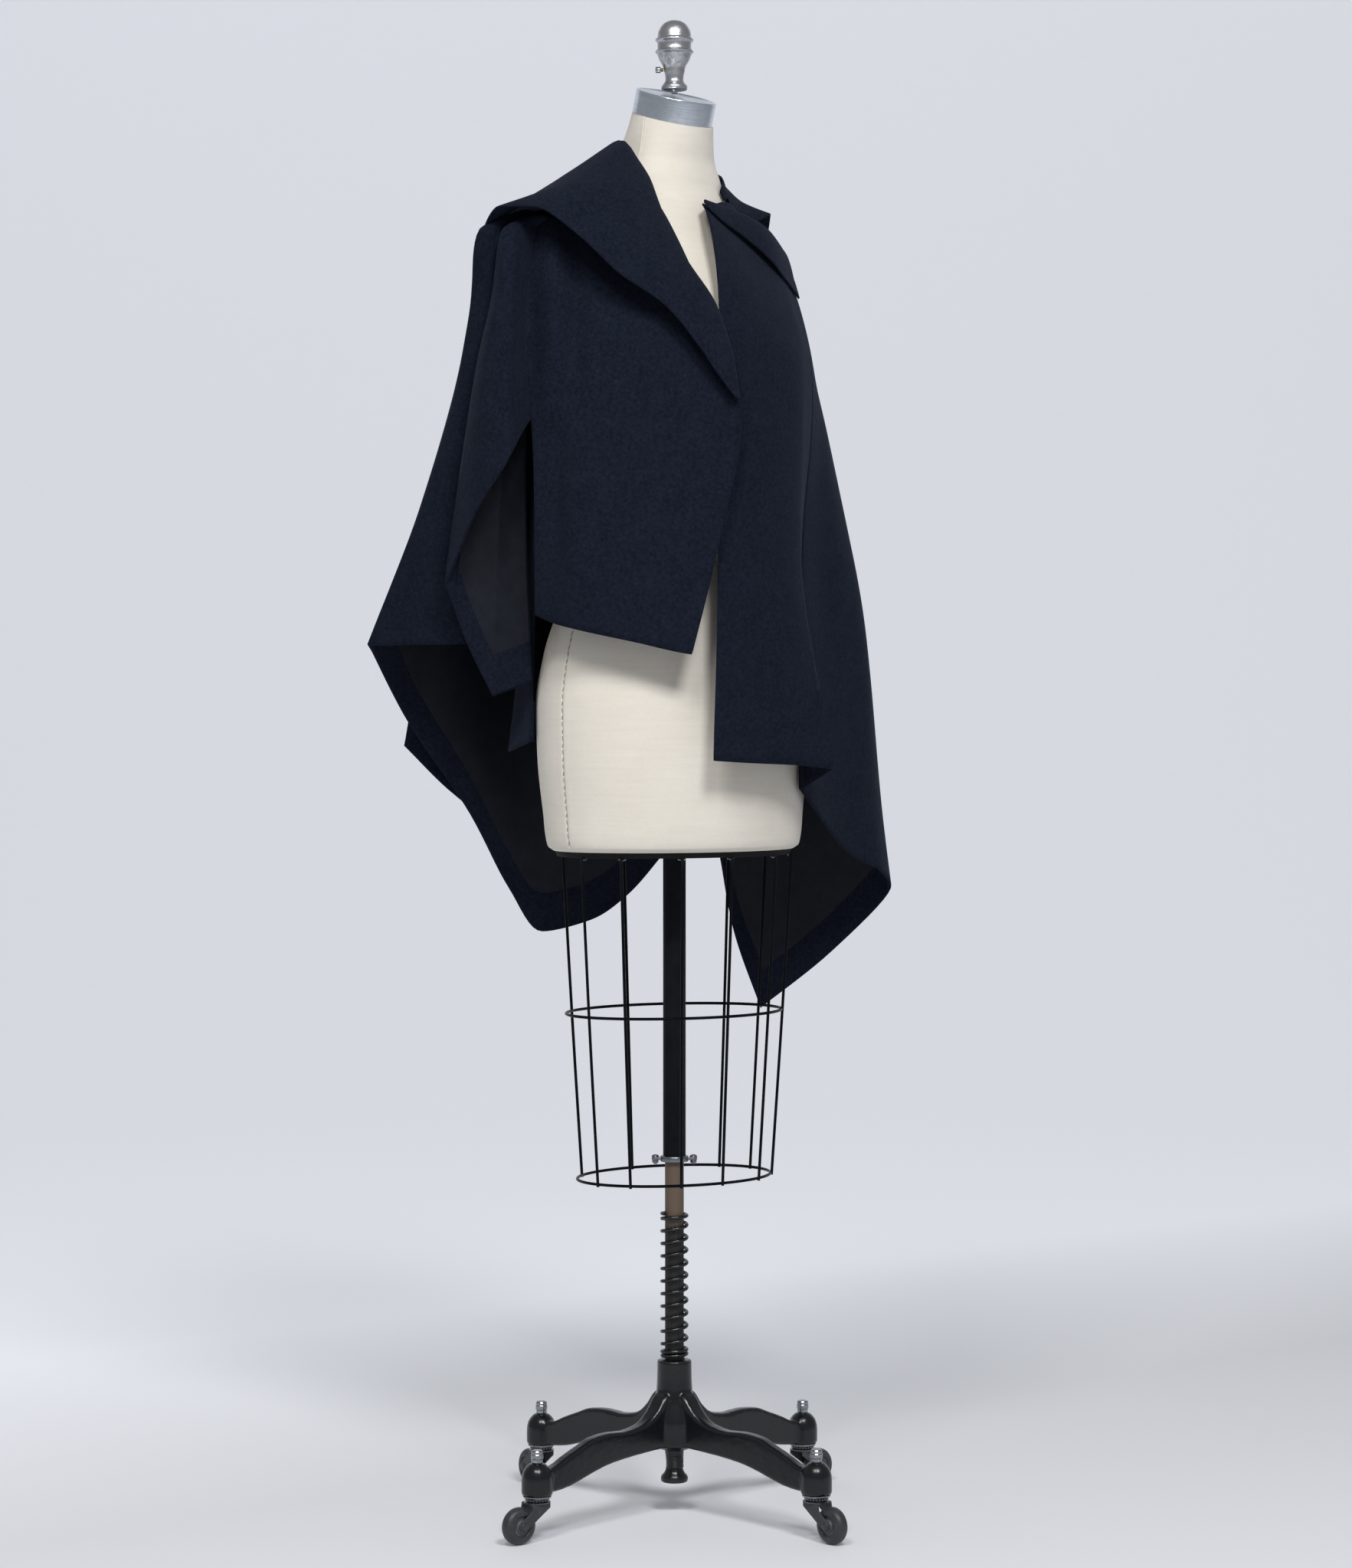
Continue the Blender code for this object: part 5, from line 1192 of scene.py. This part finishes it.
def neck_fittings():
    tilt = Matrix.Rotation(NECK_TILT, 4, "X")
    seat = NECK_TOP + CAP_BACK * math.tan(NECK_TILT)
    place = Matrix.Translation(about_pole(0, CAP_BACK, seat)) @ tilt
    rim, top = 0.0010, CAP_HEIGHT
    profile = [(0, 0), (CAP_RADIUS - 0.0004, 0), (CAP_RADIUS, 0.0004), (CAP_RADIUS, top - rim)]
    profile += [
        (CAP_RADIUS - rim + rim * math.cos(t), top - rim + rim * math.sin(t))
        for t in np.linspace(0.2, math.pi / 2, 6)
    ]
    profile += [(CAP_RADIUS - 0.0030, top), (CAP_RADIUS - 0.0040, top - 0.0006), (0, top - 0.0006)]
    cap = turned("neck_cap_ring", profile, 128, CAP_METAL, None, 35.0)
    cap.matrix_world = place
    dress(cap, "form", "cap_metal", "neck_cap")

    profile = smooth_profile([(r / 1000, h / 1000) for r, h in FINIAL_PROFILE_MM[2:]], 3)
    foot = [(0, -0.0037), (0.0035, -0.0037), (0.0035, 0.0)]
    finial = turned("finial_casting", foot + profile + [(0, 0.0798)], 96, FINIAL_METAL, None, 50.0)
    finial.matrix_world = Matrix.Translation(about_pole(0, 0, FINIAL_BASE))
    dress(finial, "form", "cap_metal", "finial")

    aim = (vec(-1, 0, 0) - vec(0, 0, 0)).to_track_quat("Z", "Y").to_matrix().to_4x4()
    place = Matrix.Translation(about_pole(0, 0, FINIAL_BASE + 0.0233)) @ aim
    thread_rows = [(0, 0.0122 + SEAT)]
    for k in range(6):
        start = 0.0125 + k * 0.00055
        thread_rows += [(0.00185, start), (0.0022, start + 0.00027)]
    thread_rows += [(0.0019, 0.0160), (0, 0.0160)]
    shank = turned("screw_thread", thread_rows, 24, BRASS, place)
    head = turned(
        "screw_head",
        ((0, 0.0156), (0.0030, 0.0156), (0.0034, 0.0160), (0.0034, 0.0208), (0.0030, 0.0214),
         (0.0012, 0.0216), (0, 0.0213)),
        28, STEEL, place,
    )
    dress(joined("finial_set_screw", [shank, head]), "form", "brass", "finial_screw")


def bottom_board():
    half_width, half_depth, inset = 0.150, 0.110, 0.0015
    rows = (
        (BOARD_FACE, -inset - 0.0012), (BOARD_FACE + 0.0004, -inset - 0.0004), (BOARD_FACE + 0.0012, -inset),
        (BOARD_TOP - 0.0008, -0.0002), (BOARD_TOP, -0.0008),
    )
    sections = []
    for height, grow in rows:
        sections.append([
            about_pole((half_width + grow) * math.cos(t), (half_depth + grow) * math.sin(t), height)
            for t in np.linspace(0, 2 * math.pi, 144, endpoint=False)
        ])
    board = add_mesh("form_floor_board", *swept(sections), BOARD_PAINT, 50.0)
    dress(board, "form", "board_paint", "bottom_board")


def oval(half, height, angle):
    return about_pole(half[0] * math.cos(angle), half[1] * math.sin(angle), height)


def cage():
    overlap = CAGE_WIRE_RADIUS * 0.9
    pieces = []
    for name, half, height in CAGE_HOOPS:
        inner = (half[0] - overlap, half[1] - overlap)
        path = [oval(inner, height, t) for t in np.linspace(0, 2 * math.pi, 120, endpoint=False)]
        pieces.append(tube_piece(f"hoop_{name}", path, CAGE_WIRE_RADIUS, BLACK_PAINT, 12, True))
    lead = math.atan2(CAGE_LOW[1] * math.sin(THREE_QUARTER_TURN), CAGE_LOW[0] * math.cos(THREE_QUARTER_TURN))
    staples = []
    for k, degrees in enumerate(CAGE_WIRE_TURNS):
        angle = math.radians(degrees) - lead
        stops = np.array([
            oval(CAGE_TOP, BOARD_FACE - SEAT, angle),
            oval(CAGE_MIDDLE, CAGE_MIDDLE_HEIGHT, angle),
            oval(CAGE_LOW, CAGE_LOW_HEIGHT - CAGE_WIRE_RADIUS * 1.5, angle),
        ])
        path = [Vector(p) for p in curve_through((0, 0.48, 1), stops, np.linspace(0, 1, 30))]
        pieces.append(tube_piece(f"upright_{k}", path, CAGE_WIRE_RADIUS, BLACK_PAINT, 12))
        for hoop, half, height in CAGE_HOOPS:
            seat = oval((half[0] - overlap * 0.4, half[1] - overlap * 0.4), height, angle)
            place = Matrix.Translation(seat) @ Matrix.Diagonal((1, 1, 0.85, 1))
            weld = (f"weld_{hoop}_{k}", bmesh.ops.create_icosphere, BLACK_PAINT, place)
            pieces.append(ball(*weld, subdivisions=2, radius=0.0021))
        top = (CAGE_TOP[0] - 0.004, CAGE_TOP[1] - 0.004)
        crown = [
            oval(top, BOARD_FACE - 0.0006 - 0.0016 * math.sin(t), angle + s)
            for t, s in zip(np.linspace(0, math.pi, 9), np.linspace(-0.036, 0.036, 9))
        ]
        staples.append(tube_piece(f"staple_{k}", crown, 0.00075, STEEL, 8))
    dress(joined("wire_cage", pieces), "form", "cage_paint", "cage")
    dress(joined("board_staples", staples), "form", "clamp_steel")


def column():
    rows = [
        (TUBE_BORE, TUBE_BOTTOM + 0.0004), (TUBE_BORE + 0.0004, TUBE_BOTTOM),
        (TUBE_RADIUS - 0.0004, TUBE_BOTTOM), (TUBE_RADIUS, TUBE_BOTTOM + 0.0004),
        (TUBE_RADIUS, BOARD_FACE - SEAT), (TUBE_BORE, BOARD_FACE - SEAT),
    ]
    centre = Matrix.Translation(about_pole(0, 0, 0))
    dress(turned("steel_tube", rows, 96, BLACK_PAINT, centre, 35.0), "form", "cage_paint", "tube")
    rows = [
        (0, POLE_BOTTOM), (POLE_RADIUS, POLE_BOTTOM), (POLE_RADIUS, POLE_TOP - 0.001),
        (POLE_RADIUS - 0.001, POLE_TOP), (0, POLE_TOP),
    ]
    pole = turned("turned_pole", rows, 72, WOOD, None, 35.0)
    pole.matrix_world = centre
    dress(pole, "stand", "pole_wood", "pole")

    top = TUBE_BOTTOM - SEAT
    low = top - CLAMP_HEIGHT
    bore, out = POLE_RADIUS + 0.0005, TUBE_RADIUS + 0.003
    pieces = [turned(
        "clamp_ring",
        ((bore, low + 0.0004), (bore + 0.0004, low), (out - 0.0006, low), (out, low + 0.0006),
         (out, top - 0.0006), (out - 0.0006, top), (bore + 0.0004, top), (bore, top - 0.0004)),
        72, STEEL, centre, 50.0,
    )]
    middle = (low + top) / 2
    width, thickness = 0.0085, 0.0030
    bolt_at = CLAMP_REACH - 0.0042
    for side in (-1, 1):
        outline = [(TUBE_RADIUS + 0.001, -width / 2), (bolt_at, -width / 2)]
        outline += [
            (bolt_at + width / 2 * math.cos(t), width / 2 * math.sin(t))
            for t in np.linspace(-math.pi / 2, math.pi / 2, 18)[1:-1]
        ]
        outline += [(bolt_at, width / 2), (TUBE_RADIUS + 0.001, width / 2)]
        sections = [[vec(side * reach, depth, height) for reach, depth in outline]
                    for height in (middle - thickness / 2, middle + thickness / 2)]
        pieces.append(bevel(add_mesh(f"clamp_ear_{side}", *swept(sections), STEEL), 0.0004))
        head, under = middle + thickness / 2 + SEAT, middle - thickness / 2 - SEAT
        place = Matrix.Translation(vec(side * bolt_at, 0, 0))
        dome = [(0, head)] + [(0.0042, head), (0.0042, head + 0.0007)]
        turns = np.linspace(0.2, 1.35, 7)
        dome += [(0.0042 * math.cos(t), head + 0.0007 + 0.0023 * math.sin(t)) for t in turns]
        dome += [(0, head + 0.0030)]
        bolt = turned(f"bolt_head_{side}", dome, 36, STEEL, place)
        nut = bevel(turned(
            f"bolt_nut_{side}", ((0, under - 0.0030), (0.0038, under - 0.0030), (0.0038, under), (0, under)),
            6, STEEL, place, 20.0,
        ), 0.0003)
        tip = turned(
            f"bolt_tip_{side}",
            ((0, under - 0.0045), (0.0018, under - 0.0045), (0.0021, under - 0.0042),
             (0.0021, head), (0, head)),
            24, STEEL, place,
        )
        label = "left" if side < 0 else "right"
        bolt_set = joined(f"clamp_bolt_set_{label}", [bolt, nut, tip])
        dress(bolt_set, "form", "clamp_steel", f"clamp_bolt_{label}")
    dress(joined("pole_clamp", pieces), "form", "clamp_steel", "clamp")


def spring():
    closed_pitch, bottom_turns, top_turns, open_turns = 2 * SPRING_WIRE + 0.0006, 2.0, 1.0, 10.5
    start = HUB_TOP + SEAT + SPRING_WIRE
    open_rise = SPRING_TOP - start - closed_pitch * (bottom_turns + top_turns)
    turns = bottom_turns + open_turns + top_turns
    path = []
    for turn in np.linspace(0, turns, round(turns * 40)):
        rise = closed_pitch * min(turn, bottom_turns)
        rise += open_rise * min(max((turn - bottom_turns) / open_turns, 0), 1)
        rise += closed_pitch * max(turn - bottom_turns - open_turns, 0)
        angle = 2 * math.pi * turn
        x, y = SPRING_RADIUS * math.cos(angle), SPRING_RADIUS * math.sin(angle)
        path.append(about_pole(x, y, start + rise))
    dress(tube_piece("coil_spring", path, SPRING_WIRE, DARK_STEEL, 14), "stand", "spring_steel", "spring")


def leg_shape(name, degrees):
    out = view_direction(degrees)
    side = Vector((0, 0, 1)).cross(out)
    table = np.array(LEG_SECTIONS)
    at = np.linspace(table[0, 0], table[-1, 0], 60)
    sections = []
    for reach, top, bottom, half in curve_through(table[:, 0], table, at):
        centre = about_pole(0, 0, 0) + out * reach
        edge = 0.32 * half
        outline = (
            (-half, bottom + edge), (-half + edge, bottom), (half - edge, bottom), (half, bottom + edge),
            (half, top - edge), (half - edge, top), (-half + edge, top), (-half, top - edge),
        )
        sections.append([centre + side * w + Vector((0, 0, h)) for w, h in outline])
    return add_mesh(name, *swept(sections), CAST_IRON)


def cast_base():
    """Hub, arms and bosses grown into one casting with soft inner corners."""
    centre = Matrix.Translation(about_pole(0, 0, 0))
    profile = [(0, HUB_TOP)] + [(r / 1000, h / 1000) for r, h in HUB_PROFILE_MM] + [(0, HUB_BOTTOM)]
    pieces = [turned("hub", profile, 64, CAST_IRON, centre)]
    for k, degrees in enumerate(LEG_TURNS):
        pieces.append(leg_shape(f"leg_{k}", degrees))
        place = Matrix.Translation(about_pole(0, 0, 0) + view_direction(degrees) * LEG_REACH)
        pieces.append(turned(f"boss_{k}", BOSS_PROFILE, 48, CAST_IRON, place))
    base = joined("casting", pieces)
    remesh = base.modifiers.new("Remesh", "REMESH")
    remesh.mode = "VOXEL"
    remesh.voxel_size = 0.0016
    soften = base.modifiers.new("Smooth", "SMOOTH")
    soften.factor = 0.5
    soften.iterations = 5
    settle(base)
    base.data.materials.clear()
    base.data.materials.append(CAST_IRON)
    base.data.shade_smooth()
    dress(base, "stand", "cast_iron", "cast_base")

    rows = (
        (0, FOOT_BOTTOM), (0.0132, FOOT_BOTTOM), (0.0150, 0.0370), (0.0156, 0.0392), (0.0155, 0.0416),
        (0.0144, 0.0440), (0.0122, 0.0462), (0.0104, 0.0492), (0.0095, 0.0540), (0.0095, 0.0600),
        (0.0102, 0.0670), (0.0110, HUB_BOTTOM - SEAT), (0, HUB_BOTTOM - SEAT),
    )
    pieces = [turned("foot_bell", rows, 64, CAST_IRON, centre, 50.0)]
    for k in range(8):
        path = arc_path(vec, 0.0096, -95, 55, 20, 0.0712 - 0.0024 * k, -0.0012)
        pieces.append(tube_piece(f"foot_thread_{k}", path, 0.0011, CAST_IRON, 8))
    dress(joined("tie_rod_foot", pieces), "stand", "cast_iron", "pole_foot")


def caster(name, leg_degrees, trail_degrees):
    stem_at = about_pole(0, 0, 0) + view_direction(leg_degrees) * LEG_REACH
    trail = view_direction(trail_degrees)
    side = Vector((0, 0, 1)).cross(trail)
    place = Matrix.Translation(stem_at)
    cup_top, cup_bottom = BOSS_BOTTOM - SEAT, FORK_ROOF + 0.0025 + SEAT

    # The stem's nut over the boss, and the upper cup and beads of its ball race under it.
    nut = turned(
        f"nut_{name}",
        [(radius, BOSS_TOP + height) for radius, height in NUT_PROFILE],
        40, WORN_CHROME, place, 30.0,
    )
    cup = turned(
        f"cup_{name}",
        [(radius, cup_top - drop) for radius, drop in CUP_PROFILE],
        56, STEEL, place, 30.0,
    )
    pieces = [nut, cup]
    for k in range(22):
        turn = 2 * math.pi * k / 22
        seat = stem_at + Vector((0.0122 * math.cos(turn), 0.0122 * math.sin(turn), cup_bottom + 0.0019))
        bead = (f"bead_{name}_{k}", bmesh.ops.create_uvsphere, STEEL, Matrix.Translation(seat))
        pieces.append(ball(*bead, u_segments=12, v_segments=8, radius=0.0013))
    core = ((0, cup_bottom), (0.0105, cup_bottom), (0.0105, cup_top - 0.004), (0, cup_top - 0.004))
    pieces.append(turned(f"race_core_{name}", core, 40, DARK_STEEL, place))
    dress(joined(f"stem_and_race_{name}", pieces), "stand", "stem_steel", f"stem_{name}")

    def at(along, across, height):
        return stem_at + trail * along + side * across + Vector((0, 0, height))

    body = f"caster_{name}"
    roof = FORK_ROOF + 0.0025
    outline = [(-0.0095, roof), (-0.0105, roof - 0.0008), (-0.0105, FORK_ROOF - 0.004)]
    for degrees in np.linspace(215, 395, 22):
        angle = math.radians(degrees)
        outline.append((TRAIL + 0.006 * math.cos(angle), WHEEL_RADIUS + 0.006 * math.sin(angle)))
    outline += [(0.0150, FORK_ROOF - 0.0060), (0.0140, FORK_ROOF - 0.001)]
    outline += [(0.0135, roof - 0.0008), (0.0128, roof)]
    plates = []
    for w in (-1, 1):
        sections = [[at(x, w * across, z) for x, z in outline] for across in (FORK_INNER, FORK_OUTER)]
        plates.append(bevel(add_mesh(f"fork_side_{name}_{w}", *swept(sections), FORK_STEEL), 0.0005, 3))
    top = [(-0.0103, FORK_ROOF), (-0.0100, roof), (0.0130, roof), (0.0134, FORK_ROOF)]
    sections = [[at(x, across, z) for x, z in top] for across in (-FORK_INNER - 0.0002, FORK_INNER + 0.0002)]
    plates.append(bevel(add_mesh(f"fork_top_{name}", *swept(sections), FORK_STEEL), 0.0004))
    plates.append(turned(
        f"lower_race_{name}",
        ((0, roof - 0.0010), (0.0145, roof - 0.0010), (0.0150, roof - 0.0004), (0.0142, roof + 0.0001),
         (0, roof + 0.0001)),
        48, STEEL, place,
    ))
    dress(joined(f"stamped_fork_{name}", plates), body, "fork_paint", f"fork_{name}")

    aim = side.to_track_quat("Z", "Y").to_matrix().to_4x4()
    axle_place = Matrix.Translation(at(TRAIL, 0, WHEEL_RADIUS)) @ aim
    out = FORK_OUTER + SEAT
    turns = np.linspace(0, math.pi / 2 - 0.12, 8)
    dome = [(0.0044 * math.cos(t), 0.0002 + 0.0014 * math.sin(t)) for t in turns]
    rows = [(0, -out - 0.0016)] + [(r, -out - h) for r, h in reversed(dome)]
    rows += [(0.0044, -out), (0.0027, -out)]
    rows += [(0.0027, out), (0.0044, out)] + [(r, out + h) for r, h in dome] + [(0, out + 0.0016)]
    dress(turned(f"axle_rivet_{name}", rows, 32, FORK_STEEL, axle_place), body, "stem_steel", f"axle_{name}")

    half, radius = WHEEL_HALF_WIDTH, WHEEL_RADIUS
    face = [
        (0.0112, half - 0.0014), (0.0118, half - 0.0003), (0.0126, half), (0.0152, half - 0.0001),
        (0.0172, half - 0.0008), (0.0190, half - 0.0022), (0.0201, half - 0.0038), (0.0206, half - 0.0055),
        (radius, half - 0.0068),
    ]
    tyre = [(0.0100, -half + 0.0014)] + [(r, -w) for r, w in face] + [(r, w) for r, w in reversed(face)]
    tyre += [(0.0100, half - 0.0014)]
    hub = [(0.0031, half - 0.0002), (0.0066, half - 0.0002), (0.0072, half - 0.0008), (0.0076, half - 0.0020),
           (0.0112, half - 0.0016)]
    core = [(r, -w) for r, w in hub] + [(r, w) for r, w in reversed(hub)]
    pieces = [turned(f"tyre_{name}", tyre, 96, RUBBER, axle_place, 50.0)]
    pieces.append(turned(f"wheel_hub_{name}", core, 64, WHEEL_HUB, axle_place, 50.0))
    dress(joined(f"rubber_wheel_{name}", pieces), f"wheel_{name}_body", "tyre", f"wheel_{name}")


neck_fittings()
bottom_board()
cage()
column()
spring()
cast_base()
for caster_name, leg_turn, trail_turn in CASTERS:
    caster(caster_name, leg_turn, trail_turn)


# Camera, light and backdrop.
PHOTO_HEIGHT = 2047
EYE_DISTANCE, EYE_HEIGHT, EYE_SIDE = 4.6, 0.938, 0.00184
EYE_PITCH = 0.02214
FOCAL_PIXELS = 5258.0


def aimed(obj, place, target):
    obj.location = place
    obj.rotation_mode = "QUATERNION"
    obj.rotation_quaternion = (target - place).to_track_quat("-Z", "Y")
    return obj


def camera():
    data = bpy.data.cameras.new("camera")
    data.sensor_fit = "VERTICAL"
    data.sensor_height = 36.0
    data.lens = FOCAL_PIXELS / PHOTO_HEIGHT * data.sensor_height
    eye = vec(0, -EYE_DISTANCE, EYE_HEIGHT)
    target = vec(EYE_SIDE, 0, EYE_HEIGHT - EYE_DISTANCE * math.tan(EYE_PITCH))
    bpy.context.scene.camera = aimed(linked("camera", data), eye, target)


def area_light(name, place, target, size, power, colour=(1, 1, 1)):
    data = bpy.data.lights.new(name, "AREA")
    data.shape = "RECTANGLE"
    data.size, data.size_y = size
    data.energy = power
    data.color = colour
    aimed(linked(name, data), place, target)


def backdrop():
    """A pale seamless sweep: floor, a wide curve, and a wall far behind, clear of a view from the back."""
    made, tree, shader = surface("pale_backdrop", 0.9)
    shader.inputs["Base Color"].default_value = (0.700, 0.712, 0.738, 1)
    shader.inputs["Specular IOR Level"].default_value = 0.1
    depth = node(tree, "SeparateXYZ", {"Vector": place_of(tree)}).outputs["Y"]
    far_glow = ramp(tree, depth, (0.060, 0.062, 0.065), (0.300, 0.309, 0.331), 0.30, 1.35)
    tree.links.new(far_glow, shader.inputs["Emission Color"])
    shader.inputs["Emission Strength"].default_value = 1.0
    wall_at, radius, half = 7.0, 3.0, 9.0
    profile = [(k - 7.0, 0.0) for k in range(11)]
    profile += [
        (wall_at - radius + radius * math.sin(t), radius - radius * math.cos(t))
        for t in np.linspace(0, math.pi / 2, 40)[1:]
    ]
    profile += [(wall_at, 7.0)]
    points = [vec(side, depth_at, height) for side in (-half, half) for depth_at, height in profile]
    count = len(profile)
    faces = [[k, k + 1, count + k + 1, count + k] for k in range(count - 1)]
    mesh = bpy.data.meshes.new("backdrop")
    mesh.from_pydata([tuple(p) for p in points], [], faces)
    mesh.materials.append(made)
    mesh.shade_smooth()
    linked("backdrop", mesh)


def studio():
    area_light("key_left", vec(-0.85, -3.4, 4.05), vec(0, 0.1, 0.8), (1.0, 1.0), 82.0, (1.0, 0.985, 0.965))
    area_light("key_right", vec(1.00, -3.4, 4.05), vec(0, 0.1, 0.8), (1.0, 1.0), 126.0, (0.99, 0.99, 1.0))
    world = bpy.data.worlds.new("studio_air")
    bpy.context.scene.world = world
    world.use_nodes = True
    world.node_tree.nodes["Background"].inputs["Color"].default_value = (0.86, 0.88, 0.92, 1)
    world.node_tree.nodes["Background"].inputs["Strength"].default_value = 0.34
    bpy.context.scene.view_settings.view_transform = "Standard"
    bpy.context.scene.view_settings.look = "None"
    bpy.context.scene.view_settings.exposure = 0.0


camera()
backdrop()
studio()
